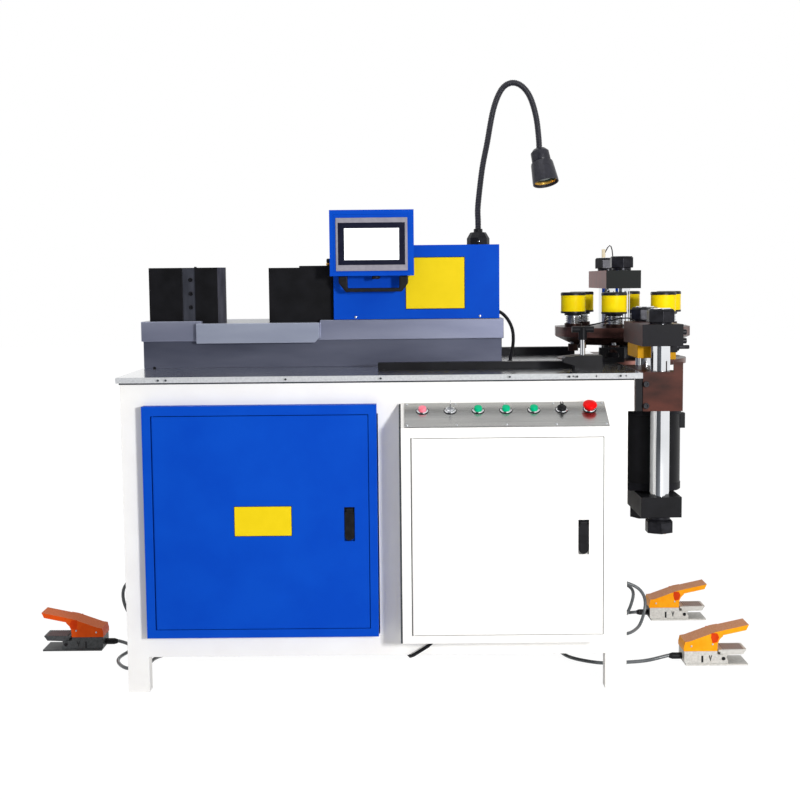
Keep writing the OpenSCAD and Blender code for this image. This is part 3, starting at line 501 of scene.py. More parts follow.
# ------ tool box
# A folded steel box for dies and punches stands out of the frame on the left. It and its door are powder
# coated blue; the door hangs on hidden pins, and carries a flush latch and a bare yellow plate.
blue_coat = finish_of("blue_powder_coat", "0645b8", "084abd", rough=0.45, grain=9, relief=0.01, shine=0.03)
softened("tool_box", blue_coat, "blue_paint", edge=1.2)
black_moulding = finish_of("black_moulding", "161618", "1e1e21", grain=80, shine=0.12)


def moulded(name, shape, body="machine", **more):
    """A part in black plastic or rubber."""
    return fitted(name, shape, black_moulding, "black_plastic", body, **more)


tool_latch_x, control_latch_x = -73, 583.5
softened("tool_box_door", blue_coat, "blue_paint", "tool_door", edge=1.5,
    accents=[(black_moulding, lambda n, c: abs(c.x - tool_latch_x) < 18 and 526 < c.z < 552)])
softened("tool_box_latch", black_moulding, "black_plastic", "tool_latch", edge=1.5)
sign_yellow = finish_of("sign_yellow", "e7ca13", "eacd16", rough=0.42, grain=30, shine=0.06)
sign_black = finish_of("sign_black", "1a1a1c", "202022", rough=0.5, grain=60, shine=0.1)


def sign_plate(name, x, z, front, border, body="machine"):
    """A bare yellow plate with a thin black border, stuck on a front."""
    fitted(f"{name}_border", Form().block(x, (front - 0.5, front - 0.05), z), sign_black, "black_plastic",
        body, edge=0.2)
    fitted(name, Form().block((x[0] + border, x[1] - border), (front - 0.8, front - 0.45),
        (z[0] + border, z[1] - border)), sign_yellow, "yellow_paint", body, edge=0.15)


sign_plate("door_sign", (-402, -237), (465, 552), -628, 1.6, "tool_door")
moulded("tool_latch_dish", Form().block((tool_latch_x - 16.5, tool_latch_x + 16.5), (-619.9, -619.2),
    (480, 549)), "tool_door")

# ------ control box
# The control box is a folded steel housing whose front stands further out and whose top slopes to carry
# the controls. Box and door are powder coated white; the door has the same flush latch, and the cable
# from the cabinet hangs under the box.


def beside_opening(c):
    """Whether a face lines the edge of the door's opening."""
    return min(abs(c.x - 102), abs(c.x - 640), abs(c.z - 192), abs(c.z - 752)) < 1


softened("control_box", white_coat, "white_paint", edge=1.5,
    accents=[(seal_and_painted_shade, lambda n, c: -698 < c.y < -685.5 and (n.y < -0.9 or beside_opening(c)))])
# A dark strip along the box's left side is painted shade: it stands for the shadow gap between the box and
# the frame.
fitted("control_box_seam", Form().drawn([(-706, 171), (-697, 171), (-697, 777), (-597, 829), (-597, 837.5),
    (-706, 779.5)], "x", (70.6, 75.95)), seal_and_painted_shade, "black_plastic")
softened("control_door", white_coat, "white_paint", "control_door", edge=1.5,
    accents=[(black_moulding, lambda n, c: abs(c.x - control_latch_x) < 18 and 498 < c.z < 524)])
softened("control_latch", black_moulding, "black_plastic", "control_latch", edge=1.5)
moulded("control_latch_dish", Form().block((control_latch_x - 16.5, control_latch_x + 16.5),
    (-697.9, -697.2), (452, 521)), "control_door")

moulded("box_cable", Form().strand([(182, -604, 172), (168, -604, 152), (148, -604, 134), (126, -603, 120),
    (106, -602, 107), (97, -592, 101), (92, -572, 101), (88, -548, 108), (86, -530, 124)], 5))

# ------ control panel
# A brushed stainless panel lies on the slope, held by ten small screws. Seven 22 mm controls stand in it
# on chromed bezels: a red lamp button, a key switch, three green buttons, a selector and the red mushroom
# button for emergencies.
rise, depth, panel_y = 58, 109, -635
slope = math.atan2(rise, depth)


def on_panel(x, up=0.0):
    """The place of a control on the slope: its own Z stands square to the panel."""
    return (Matrix.Translation((x, panel_y, 838 + math.tan(slope) * (panel_y + 597)))
        @ Matrix.Rotation(slope, 4, "X") @ Matrix.Translation((0, 0, up)))


brushed_panel = finish_of("brushed_stainless", "a3a3a1", "b2b2b0", metal=1.0, rough=0.24, spread=0.05,
    grain=(4, 500, 500), relief=0.01)
chrome_trim = finish_of("chrome_trim", "d5d7da", "dedfe2", metal=1.0, rough=0.09, spread=0.03, grain=50)
panel_top = 3.3
fitted("control_panel_sheet", Form(on_panel(0)).drawn([(86, -79), (655, -79), (655, 41), (86, 41)], "z",
    (0.3, panel_top)), brushed_panel, "stainless", edge=0.6, replaces=["control_panel"])
control_x = [137 + 78.6 * i for i in range(7)]


def on_stand(number):
    """The place of one of the seven controls, counted from the left."""
    return on_panel(control_x[number])


across_panel = on_panel(0).to_3x3() @ Vector((0, 0, 1))
bezel_spots = [(on_panel(x, panel_top).translation, across_panel) for x in control_x]
repeated("bezels", Form().turned([(11.7, 0), (16.4, 0), (16.4, 2.2), (14.6, 4.4), (12.2, 4.6),
    (11.7, 4.2)]), bezel_spots, chrome_trim, "stainless")
repeated("bezel_seals", Form().turned([(16.6, 0), (18.4, 0), (18.4, 1.2), (16.6, 1.4)]), bezel_spots,
    black_moulding, "black_plastic")
screw_spots = [(on_panel(x, panel_top) @ Vector((0, y, 0)), across_panel) for x in (94, 232, 371, 509, 647)
    for y in (-71, 33)]
repeated("panel_fixings", pan_head(3.4), screw_spots, zinc, "stainless")
red_cap = finish_of("red_moulding", "e4060a", "ea0e12", rough=0.3, grain=60, shine=0.1)
red_lamp = finish_of("red_lamp", "ff7489", "ff91a3", rough=0.3, grain=80, shine=0.2)
green_cap = finish_of("green_moulding", "00b07b", "02bc86", rough=0.3, grain=60, shine=0.1)
stem = [(0, -26), (8, -26), (8, 0), (11.1, 0.5)]
cap_profile = stem + [(11.1, 14.4), (10.4, 15.6), (6, 16.2), (0, 16.4)]
for stand, node, finish, slot in ((0, "red_button", red_lamp, "red_plastic"),
        (2, "green_button_1", green_cap, "green_plastic"),
        (3, "green_button_2", green_cap, "green_plastic"),
        (4, "green_button_3", green_cap, "green_plastic")):
    fitted(f"{node}_cap", Form(on_stand(stand)).turned(cap_profile), finish, slot, node, replaces=[node])
lock = Form(on_stand(1))
lock.turned(stem + [(11.1, 9.5), (10.2, 10.4), (0, 10.4)])
lock.block((-1, 1), (-4, 4), (9, 18))
lock.drawn([(-1.1, -10), (-1.1, 10), (1.1, 10), (1.1, -10)], "z", (17, 33))
fitted("key_and_lock", lock, chrome_trim, "key_steel", "key_switch", edge=0.7, replaces=["key_switch"])
knob = Form(on_stand(5))
knob.turned(stem + [(11.1, 9), (13, 9.6), (13, 13), (12, 14), (0, 14)])
knob.drawn([(-4, -12.6), (4, -12.6), (4.6, 0), (4, 12.6), (-4, 12.6), (-4.6, 0)], "z", (13, 23))
moulded("selector_knob", knob, "selector_switch", edge=0.8, replaces=["selector_switch"])
fitted("selector_pointer", Form(on_stand(5)).block((-0.8, 0.8), (2, 11.5), (22.6, 23.2)), white_coat,
    "black_plastic", "selector_switch")
fitted("mushroom_cap", Form(on_stand(6)).turned([(0, -26), (11.1, -26), (11.1, 12), (16, 13), (20, 17),
    (20.2, 20.5), (18, 24.5), (12, 27.6), (5, 28.8), (0, 29)]), red_cap, "red_plastic", "emergency_stop",
    replaces=["emergency_stop"])

# ------ electrical panel and hydraulic unit
# Inside the cabinet stand a zinc plate with its breakers, drives and terminals, and the oil tank with
# the pump motor and the valve block. They are seen only when a door is open.
device_grey = finish_of("device_grey", "8d9196", "9a9ea3", rough=0.5, grain=30, shine=0.2)
zinc_plate = finish_of("zinc_plate", "a8acb0", "b6babd", metal=0.7, rough=0.45, grain=12)
softened("electrical_panel", device_grey, "electrical_parts", edge=0.8,
    accents=[(zinc_plate, lambda n, c: c.y > -255.6)])
repeated("breaker_toggles", Form().block((-4, 4), (-3, 3), (0, 7)),
    [((150 + 54 * i + 22, -324.3, 660), (0, -1, 0)) for i in range(6)], black_moulding, "black_plastic")
tank_paint = finish_of("tank_paint", "3a6186", "40688e", rough=0.45, grain=10, relief=0.02, shine=0.2)
softened("hydraulic_unit", tank_paint, "hydraulic_paint", edge=2.0)
screwed("tank_lid_bolts", socket_head(6, 7), [((x, y, 546), (0, 0, 1)) for x in (-495, -300, -100, 95)
    for y in (-115, 415)])

# ------ bending bed
# The bed of the bending press is a grey machined casting with a guide plate along its front and a way
# across its top. The way's floor is scraped bright where the ram slides.
# The bed's grey mixes a darker and a lighter tone in broad patches: a painted reflection, standing for the
# lighter and darker stretches that the bed's front mirrors.
bed_grey_painted_reflection = finish_of("bed_grey_painted_reflection", "777b91", "9195a8", metal=0.55, rough=0.36, spread=0.05, grain=(1.6, 2, 7),
    relief=0.01, shine=0.12, bands=(0.3, 0.7))
bed_top_grey = finish_of("bed_top_grey", "8f939f", "a0a4af", metal=0.6, rough=0.3, grain=(6, 200, 200),
    relief=0.02, shine=0.2)
guide_grey = finish_of("guide_plate_grey", "8d93a6", "9da3b4", metal=0.4, grain=(2, 2, 9), relief=0.01,
    shine=0.12)
# The bed's lower front, set back under the ledge, takes a darker grey: painted shade from the ledge above
# it.
lower_front_painted_shade = finish_of("bed_low_grey", "4a4d5d", "656878", metal=0.5, rough=0.38, grain=(1.6, 2, 7),
    relief=0.01, shine=0.12)
softened("bending_bed", bed_grey_painted_reflection, "bed_iron", edge=2.0,
    accents=[(bed_top_grey, lambda n, c: n.z > 0.9), (guide_grey, lambda n, c: n.y < -0.9 and c.y < -225),
    (lower_front_painted_shade, lambda n, c: n.y < -0.9 and c.z < 985 and c.y > -225)])
# A thin dark strip under the ledge is a painted shadow: it stands for the shade that the ledge casts on the
# face below.
fitted("ledge_gap", Form().block((-170, 395), (-203.6, -202.9), (1004, 1008)), seal_and_painted_shade, "bed_iron")
scraped = finish_of("scraped_way", "b9bcc0", "85898f", metal=0.7, rough=0.33, grain=(420, 420, 60),
    relief=0.05)
fitted("way_strip", Form().block((-473, -176), (-200, 225), (1059.9, 1060.2)), scraped, "bed_iron")
black_oxide = finish_of("black_oxide", "141416", "19191c", metal=0.15, grain=25, relief=0.02, shine=0.1)
bolt_black = finish_of("bolt_black", "1a1a1d", "26262a", metal=0.5, rough=0.34, grain=150, shine=0.2)


def blackened(node, body="machine", edge=1.0, accents=()):
    """A steel solid blackened in an oxide bath."""
    softened(node, black_oxide, "black_oxide", body, edge, accents)


def bolted(name, item, spots, body="machine"):
    """A set of black bolts."""
    repeated(name, item, spots, bolt_black, "black_oxide", body)


bolted("bed_plug", socket_head(5, 2), [((-698, -203, 921), (0, -1, 0))])

# ------ fixed die block
# The fixed bending block is tool steel, blackened: two ground jaws with a bolted strip between them. The
# strip's three cap screws stand out bright, and the cheek's chamfer is painted a lighter grey: a painted
# highlight where the light from the right catches it.
chamfer_painted_highlight = finish_of("chamfer_painted_highlight", "4a4a52", "5c5c66", metal=0.6, rough=0.3, grain=(60, 60, 12),
    shine=0.2)
blackened("fixed_die_block", edge=1.2, accents=[(chamfer_painted_highlight, lambda n, c: n.x > 0.5 and n.y < -0.5)])
strip_steel = finish_of("strip_steel", "44464f", "52545e", metal=0.6, rough=0.32, grain=(50, 50, 8),
    relief=0.02)
fitted("die_strip", Form().block((-606.4, -566.6), (-182.6, -182.05), (1068, 1233.4)), strip_steel,
    "black_oxide", edge=0.2)
bolted("die_strip_screws", socket_head(6.6, 5.5), [((-581, -182.5, 1110 + z), (0, -1, 0))
    for z in (0, 43, 86)])

# ------ ram and bending cylinder
# The moving block slides in the way on a hard chromed rod, pushed by a hydraulic cylinder on two feet. A
# short oil fitting with a brass ring stands on the block.
blackened("ram_block", "ram", edge=1.2)
brass = finish_of("brass", "b98a34", "cda04a", metal=0.9, rough=0.25, grain=90, shine=0.4)
ring = Form()
ring.turned([(7.05, 0), (9.2, 0), (9.2, 6), (8, 7), (7.05, 7)], (-147, -160, 1237.5), sides=6)
fitted("fitting_ring", ring, brass, "yellow_paint", "ram", edge=0.4)
elbow = Form()
elbow.turned([(7.3, 0), (8.2, 1), (8.2, 9), (6.5, 12.5), (0, 13)], (-147, -160, 1246), sides=24)
elbow.strand([(-147, -160, 1252), (-141, -160, 1252), (-133.5, -160, 1252)], 5)
moulded("oil_elbow", elbow, "ram", edge=0.4)
hard_chrome = finish_of("hard_chrome", "dfe1e4", "e8eaed", metal=1.0, rough=0.05, spread=0.01, grain=9,
    shine=0.5)
softened("ram_rod", hard_chrome, "chromed", "ram", edge=0.8)
blackened("bending_cylinder", edge=2.0)

# ------ cylinder cover
# A folded cover hides the bending cylinder. It is powder coated blue, screwed to the bed along its lower
# edge, and carries a bare yellow plate with a thin black border.
softened("cylinder_cover", blue_coat, "blue_paint", edge=2.0)
sign_plate("cover_sign", (93, 279), (1098, 1260), -215, 2.2)
screwed("cover_screws", pan_head(4), [((x, -215, 1075), (0, -1, 0)) for x in (-63, 325)])

# ------ screen
# The touch screen sits in a sheet housing that swivels on an upright pin. It has a grey bezel, a black
# border and a lit pale glass; under it hang a black U-shaped handle and a cable gland.
softened("hmi_case", blue_coat, "blue_paint", "screen", edge=2.5)
bezel_grey = finish_of("bezel_grey", "8b8893", "95929c", grain=60, shine=0.12)
fitted("screen_tray", Form().block((-124.8, 104.8), (-299.5, -262), (1215.2, 1388.8)), blue_coat,
    "blue_paint", "screen", edge=0.5)
fitted("screen_frame", Form().block((-118, 101), (-304, -299), (1218, 1379)), bezel_grey, "screen_glass",
    "screen", edge=2.4, replaces=["touch_screen"], steps=3)
border_black = finish_of("border_black", "16182a", "1a1c2e", rough=0.25, grain=30, shine=0.15)
fitted("screen_border", Form().block((-111, 93), (-304.6, -303.9), (1236, 1364)), border_black,
    "screen_glass", "screen", edge=0.3)
lit_glass = finish_of("lit_glass", "f6f8fa", "fbfcfd", rough=0.2, grain=6)
preset(lit_glass.node_tree.nodes["Principled BSDF"], ("Emission Color", (0.93, 0.96, 1.0, 1)),
    ("Emission Strength", 0.45))
fitted("screen_picture", Form().block((-92, 75), (-304.9, -304.5), (1251, 1347)), lit_glass, "screen_glass",
    "screen", edge=0.15)
softened("hmi_handle", black_moulding, "black_plastic", "screen", edge=3.5, steps=3)

# ------ work lamp
# The lamp stands on a magnetic foot on the cover. Its neck is a ribbed steel gooseneck, sheathed in black,
# and its black spun head holds a yellow reflector behind a dark green glass.


def ribbed_tree():
    """A tree that sweeps a round section along a path and lifts a rib at every pitch."""
    tree, start = new_tree("ribbed_sleeve", Radius="Float", Rib="Float", Pitch="Float")
    path, even, along, section, sweep = nodes_of(tree, "GeometryNode", "MeshToCurve", "ResampleCurve",
        "SplineParameter", "CurvePrimitiveCircle", "CurveToMesh")
    step, turns, angle, wave, swell = nodes_of(tree, "ShaderNode", *["Math"] * 5)
    for node, way in ((step, "DIVIDE"), (turns, "DIVIDE"), (angle, "MULTIPLY"), (wave, "COSINE"),
            (swell, "MULTIPLY_ADD")):
        node.operation = way
    even.mode = "LENGTH"
    preset(step, (1, 4.0))
    preset(angle, (1, 2 * math.pi))
    preset(section, ("Resolution", 20), ("Radius", 1.0))
    preset(sweep, ("Fill Caps", True))
    wired(tree, (start, "Geometry", path, "Mesh"), (path, "Curve", even, "Curve"),
        (start, "Pitch", step, 0), (step, 0, even, "Length"), (along, "Length", turns, 0),
        (start, "Pitch", turns, 1), (turns, 0, angle, 0), (angle, 0, wave, 0), (wave, 0, swell, 0),
        (start, "Rib", swell, 1), (start, "Radius", swell, 2), (even, "Curve", sweep, "Curve"),
        (section, "Curve", sweep, "Profile Curve"), (swell, 0, sweep, "Scale"))
    return ended(tree, start, sweep, "Mesh")


sleeve_tree = ribbed_tree()


def ribbed(name, route, radius, rib, pitch, finish):
    """A ribbed sleeve along a route in metres; its other sizes are in millimetres."""
    line = bpy.data.meshes.new(name)
    line.from_pydata(route, [(i, i + 1) for i in range(len(route) - 1)], [])
    sleeve = grown(name, line, sleeve_tree, "black_plastic", Radius=radius / 1000, Rib=rib / 1000,
        Pitch=pitch / 1000, Finish=finish)
    sleeve.data.shade_smooth()
    sleeve.data.set_sharp_from_angle(angle=math.radians(60))
    return sleeve


neck_black = finish_of("neck_black", "1f1f26", "2a2a32", rough=0.32, grain=200)
lamp_y = -100
neck_stops = [(x, lamp_y, z) for x, z in ((327, 1343), (327, 1380), (326, 1412), (334, 1488), (343, 1552),
    (357, 1620), (367, 1677), (377, 1724), (390, 1762), (409, 1794), (436, 1807), (463, 1799), (485, 1776),
    (499, 1747), (510, 1709), (516, 1675), (521, 1625), (522, 1595))]
ribbed("lamp_neck", smooth_route(neck_stops, gap=8, passes=2), 9.2, 0.75, 5, neck_black)
foot = Form()
foot.turned([(0, 1297.2), (36, 1297.2), (36.4, 1299), (36.4, 1319), (34.5, 1322), (26.4, 1336), (25, 1338),
    (15, 1338.6), (14.4, 1341), (14.4, 1348), (13, 1349.5), (0, 1349.5)], (327, lamp_y, 0), sides=8)
moulded("lamp_foot", foot, edge=1.2, replaces=["lamp_stem"])
screwed("lamp_foot_screw", pan_head(3.5), [((327, lamp_y - 33.8, 1309), (0, -1, 0))])
head_turn = (Matrix.Translation((522, lamp_y, 1595)) @ Matrix.Rotation(math.radians(-9.5), 4, "Y")
    @ Matrix.Rotation(math.radians(-17), 4, "X"))
head_black = finish_of("head_black", "24242b", "2d2d35", rough=0.34, grain=90, shine=0.25)
fitted("lamp_shade", Form(head_turn).turned([(9.95, 2), (20, 2), (21, 1), (29, -8), (30, -36), (28, -40),
    (34, -43), (35.5, -48), (41, -105), (41, -112), (38.4, -112), (37, -103), (31, -66), (14, -54),
    (0, -54), (0, -12), (9.95, -12)], sides=64), head_black, "black_plastic", replaces=["lamp_head"])
dish = Form(head_turn)
dish.turned([(13.5, -54.6), (30.6, -66.6), (36.7, -103), (36.2, -103), (30, -67), (13.5, -55.2)], sides=64)
reflector = finish_of("reflector_yellow", "d8a13a", "e6b656", metal=0.5, rough=0.25, shine=0.4)
fitted("lamp_reflector", dish, reflector, "yellow_paint")
lens = Form(head_turn)
lens.turned([(0, -88), (34, -88), (36, -94), (34.2, -98), (0, -101)], sides=64)
lens_green = finish_of("lens_green", "10231a", "1a3324", rough=0.12, grain=60, shine=0.6)
fitted("lamp_lens", lens, lens_green, "black_plastic")

# ------ conduit
# The cylinder's wires run in a corrugated black conduit from the cover's end down through the table. A
# hexagon nipple holds it in the cover, and a round one in the table.
conduit_stops = [(380, -60, 1088), (400, -60, 1083), (422, -60, 1062), (438, -60, 1030), (442, -60, 995),
    (438, -60, 955), (431, -60, 925), (431, -60, 895)]
conduit = ribbed("conduit_sleeve", smooth_route(conduit_stops, gap=6, passes=2), 5.4, 0.5, 3.6,
    black_moulding)
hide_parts("conduit")
nipple = Form()
nipple.turned([(6, 0), (10, 0), (10, 7), (7.5, 9), (6, 9)], (386.3, -60, 1088), (1, 0, -0.1), sides=6)
nipple.turned([(6, 0), (11, 0), (11, 3), (8, 6), (6, 6)], (431, -60, 920.2), sides=24)
moulded("conduit_nipples", nipple, edge=0.5)

# ------ table fittings and clamp
# Two blackened guide bars, the turret's hub and an arched stripper are bolted to the table. The busbar
# clamp is a nosed block with a T-handled screw.
blackened("table_fittings", edge=1.0)
fitted("guide_bar_end", Form().block((554, 640), (-382.9, -343.1), (920.1, 941.9)), black_oxide,
    "black_oxide", edge=1.0)
bolted("guide_bar_screws", socket_head(6, 1.5), [((x, -363, 941), (0, 0, 1)) for x in (60, 220, 380, 520)]
    + [((x, 345, 947), (0, 0, 1)) for x in (60, 270, 480, 650)])
blackened("clamp_base", edge=2.0)
blackened("clamp_screw", "clamp_screw", edge=1.5)
fitted("clamp_rod", Form().turned([(7.02, 967.6), (7.4, 967.6), (7.4, 1011.8), (7.02, 1011.8)],
    (604.5, -520, 0), sides=28), chrome_trim, "chromed", "clamp_screw")

# ------ guide blocks and press cylinders
# Two heavy steel guide blocks, dark red-brown from their oxide, are bolted to the frame through black
# strips. They guide the columns of the shear and of the punch, and their cylinders hang under them.
brown_oxide = finish_of("brown_oxide", "24110c", "522920", metal=0.12, rough=0.36, grain=(9, 9, 22),
    relief=0.03, shine=0.1, bands=(0.3, 0.75))
grey_oxide = finish_of("grey_oxide", "111115", "1a1a1f", rough=0.5, grain=(26, 26, 14), relief=0.02,
    shine=0.1)
press_x, cylinder_ys = 821, (-439.5, 281.5)
softened("base_blocks", brown_oxide, "brown_oxide", edge=1.6,
    accents=[(black_oxide, lambda n, c: c.x < 765.3 and abs(n.x) < 0.5)])
block_bolts = [((765.4, y, z), (-1, 0, 0)) for y in (-585, -300) for z in (826, 888)]
front_bolts = [((774, -600, z), (0, -1, 0)) for z in (826, 888)]
bolted("block_bolts", socket_head(8.5, 8), block_bolts + front_bolts)
blackened("press_cylinders", edge=2.5)
end_rings = Form()
for y in cylinder_ys:
    for ring in ([(83.1, 566), (84.6, 567), (84.6, 586), (83.1, 587)],
            [(83.1, 789), (85.4, 790), (85.4, 808), (83.1, 809)]):
        end_rings.turned(ring, (press_x, y, 0), sides=64)
fitted("cylinder_rings", end_rings, grey_oxide, "black_oxide")
screw_circle = 72
ring_screws = [((press_x + screw_circle * a, y + screw_circle * b, 565.2), (0, 0, -1)) for y in cylinder_ys
    for a, b in circle(8, 0.39)]
bolted("cylinder_screws", socket_head(5, 4), ring_screws)

# ------ shear
# The shear's crosshead is pulled down by two hard chromed columns with black hexagon nuts. A yellow
# painted holder between the columns carries the moving blade, which a knurled thumb screw pins.


nut_corner = 36 / math.cos(math.radians(30))
nut_steps = ((1.0, 0, 32), (0.999, 31.9, 35), (0.93, 34.9, 38))


def columns(rods, node, nuts, ys, high, collar, body):
    """Two chromed columns with chamfered ends, from a common foot up to a height, and the black hexagon
    nuts with chamfered crowns and the collars that hold the crossheads on them."""
    bars, blacks = Form(), Form()
    for y, turn in zip(ys, (30, 0)):
        bars.turned([(0, 452), (26.5, 452), (28, 453.5), (28, high - 1.5), (26.5, high), (0, high)],
            (press_x, y, 0), sides=72)
        hexagon = [(nut_corner * a, nut_corner * b) for a, b in circle(6, math.radians(turn))]
        for foot in (collar[1], 455):
            for share, low, top in nut_steps:
                blacks.drawn([(press_x + share * a, y + share * b) for a, b in hexagon], "z",
                    (foot + low, foot + top))
        for low, top in ((collar[0], collar[1] + 0.1), (492.9, 502.6)):
            blacks.turned([(28.02, low), (32, low), (32, top), (28.02, top)], (press_x, y, 0))
    fitted(rods, bars, hard_chrome, "chromed", body, replaces=[node])
    fitted(nuts, blacks, nut_black, "black_oxide", body, edge=1.4)


nut_black = finish_of("nut_black", "1e1e22", "2b2b30", metal=0.5, rough=0.3, grain=60, relief=0.02,
    shine=0.2)
softened("shear_crosshead", brown_oxide, "brown_oxide", "shear_yoke", edge=1.6,
    accents=[(grey_oxide, lambda n, c: n.y < -0.9)])
columns("shear_columns", "shear_rods", "shear_nuts", (-562, -317), 1103, (1057.2, 1062), "shear_yoke")
blackened("shear_lower_crosshead", "shear_yoke", edge=2.0)
holder_yellow = finish_of("holder_yellow", "bb8604", "ca930a", rough=0.45, shine=0.06)
softened("shear_blade_holder", holder_yellow, "yellow_paint", "shear_yoke", edge=1.5)
fitted("thumb_screw", Form().turned([(0, 854), (4, 854), (4, 884), (10.5, 884.5), (11.4, 886), (11.4, 898),
    (10.5, 899.5), (6, 900), (6, 928), (5, 930), (0, 930)], (0, -440, 984), (1, 0, 0), sides=32),
    bolt_black, "black_oxide", "shear_thumb_screw", replaces=["shear_thumb_screw"])
bolted("crosshead_screws", socket_head(8, 13), [((879, -578, z), (1, 0, 0)) for z in (1009, 1034)],
    "shear_yoke")
knurl_circle = 11.1
knurl_spots = [((892, -440 + knurl_circle * a, 984 + knurl_circle * b), (0, a, b)) for a, b in circle(28)]
bolted("thumb_screw_knurls", Form().block((-0.5, 0.5), (-6, 6), (0, 0.7)), knurl_spots, "shear_thumb_screw")

# ------ punch press
# The punch press is built as the shear is. Its crosshead presses the cap of the punch that stands under
# it; a beige terminal with a looped wire sits on its end.
rosy_oxide = finish_of("rosy_oxide", "74403c", "8c544f", metal=0.1, grain=(20, 20, 12), relief=0.02,
    shine=0.12)
green_grey = finish_of("green_grey", "0f1212", "171b1a", rough=0.5, grain=(26, 26, 14), relief=0.02,
    shine=0.12)
softened("punch_crosshead", brown_oxide, "brown_oxide", "punch_yoke", edge=1.6,
    accents=[(green_grey, lambda n, c: n.y < -0.9), (rosy_oxide, lambda n, c: n.x < -0.9)])
columns("punch_rods", "punch_columns", "punch_nuts", (119, 444), 1262, (1214.2, 1223), "punch_yoke")
blackened("punch_lower_crosshead", "punch_yoke", edge=2.0)
terminal_beige = finish_of("terminal_beige", "d6c6a4", "e2d4b6", rough=0.45, grain=90, shine=0.2)
terminal = Form()
terminal.block((808, 822), (472, 486), (1213.9, 1262))
terminal.block((809, 821), (474, 484), (1261, 1293))
fitted("terminal", terminal, terminal_beige, "yellow_paint", "punch_yoke", edge=1.0)
moulded("terminal_wire", Form().strand([(818, 479, 1276), (824, 479, 1288), (830, 479, 1299),
    (837, 479, 1306), (842, 479, 1303), (846, 479, 1290), (848, 479, 1272), (850, 479, 1245),
    (850, 479, 1213)], 2.0), "punch_yoke")

# ------ turret
# Two plates turn on a fixed hub: the upper one guides six punches, the lower one holds their dies. Each
# punch has a moulded yellow cap with black rims, a blackened collar, and a spring seated in its bush.
turret_brown = finish_of("turret_brown", "2b1d1b", "45302b", metal=0.5, rough=0.34, grain=18, relief=0.02,
    shine=0.15)
turret_edge = finish_of("turret_edge", "3a2522", "6b4740", metal=0.5, rough=0.3, grain=(14, 14, 30),
    relief=0.02, shine=0.2)
hub_x, hub_y = 821, 119
softened("turret_plate", turret_brown, "brown_oxide", "turret", edge=1.0,
    accents=[(turret_edge, lambda n, c: abs(n.z) < 0.2 and math.hypot(c.x - hub_x, c.y - hub_y) > 205)])
softened("die_plate", turret_brown, "brown_oxide", "turret", edge=0.8,
    accents=[(turret_edge, lambda n, c: abs(n.z) < 0.2)])

moulded("turret_wire", Form().strand([(668, -66, 1026), (676, -72, 1034), (700, -86, 1041),
    (731, -93, 1048), (757, -94, 1054), (783, -93, 1060), (812, -84, 1060), (834, -68, 1050),
    (846, -58, 1038), (852, -52, 1026)], 2.2), "turret")


def spring_tree():
    """A tree that winds a round wire into a spring."""
    tree, start = new_tree("wound_spring", Radius="Float", Wire="Float", Height="Float", Turns="Float",
        Foot="Vector")
    coil, section, sweep, lift = nodes_of(tree, "GeometryNode", "CurveSpiral", "CurvePrimitiveCircle",
        "CurveToMesh", "Transform")
    preset(coil, ("Resolution", 24))
    preset(section, ("Resolution", 8))
    preset(sweep, ("Fill Caps", True))
    wired(tree, (start, "Radius", coil, "Start Radius"), (start, "Radius", coil, "End Radius"),
        (start, "Height", coil, "Height"), (start, "Turns", coil, "Rotations"),
        (start, "Wire", section, "Radius"), (coil, "Curve", sweep, "Curve"),
        (section, "Curve", sweep, "Profile Curve"), (sweep, "Mesh", lift, "Geometry"),
        (start, "Foot", lift, "Translation"))
    return ended(tree, start, lift, "Geometry")


coil_tree = spring_tree()
cap_yellow = finish_of("cap_yellow", "ffda04", "ffe40e", rough=0.38, shine=0.08)
rim_black = finish_of("rim_black", "17171a", "202023", rough=0.36, grain=60, shine=0.2)
spring_steel = finish_of("spring_steel", "9a9ca0", "c4c6ca", metal=0.9, rough=0.25, grain=120)
punch_circle, first_punch, punch_step = 171.5, 13, 60
for number in range(1, 7):
    turn = math.radians(first_punch + punch_step * (number - 1))
    at = (hub_x + punch_circle * math.cos(turn), hub_y + punch_circle * math.sin(turn), 0)
    body = f"punch_{number}"
    cap = Form().turned([(0, 1079), (40.2, 1079), (40.5, 1080), (40.5, 1133), (0, 1133)], at, sides=64)
    fitted(f"cap_{number}", cap, cap_yellow, "yellow_cap", body, replaces=[body])
    rims = Form()
    rims.turned([(0, 1066.2), (28.6, 1066.2), (29, 1067), (29, 1073), (40.6, 1073), (41.5, 1074),
        (41.5, 1079.4), (0, 1079.4)], at, sides=64)
    rims.turned([(0, 1132.6), (41.5, 1132.6), (41.5, 1139), (40.4, 1141.8), (37.5, 1143), (0, 1143)], at,
        sides=64)
    fitted(f"cap_rims_{number}", rims, rim_black, "black_plastic", body)
    shank = Form().turned([(0, 949), (9, 949), (9, 999), (19.6, 999), (20, 1000), (20, 1067), (0, 1067)],
        at)
    fitted(f"shank_{number}", shank, spring_steel, "chromed", body)
    seat = bpy.data.meshes.new(f"spring_{number}")
    seat.from_pydata([(0, 0, 0)], [], [])
    foot_x, foot_y = at[0] / 1000, at[1] / 1000
    spring = grown(f"spring_{number}", seat, coil_tree, "chromed", "turret", Radius=0.0232, Wire=0.0018,
        Height=0.0315, Turns=5.0, Foot=(foot_x, foot_y, 1.0322), Finish=spring_steel)
    spring.data.shade_smooth()
    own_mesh(spring)

# ------ foot pedals
# Each pedal has a cast aluminium base with its switch inside, an orange steel guard over the toe, and a
# ribbed treadle that turns on a pin between the base's ears.
cast_grey = finish_of("cast_grey", "c2c0bb", "d6d4cf", metal=0.1, rough=0.5, grain=140, relief=0.06,
    shine=0.2)
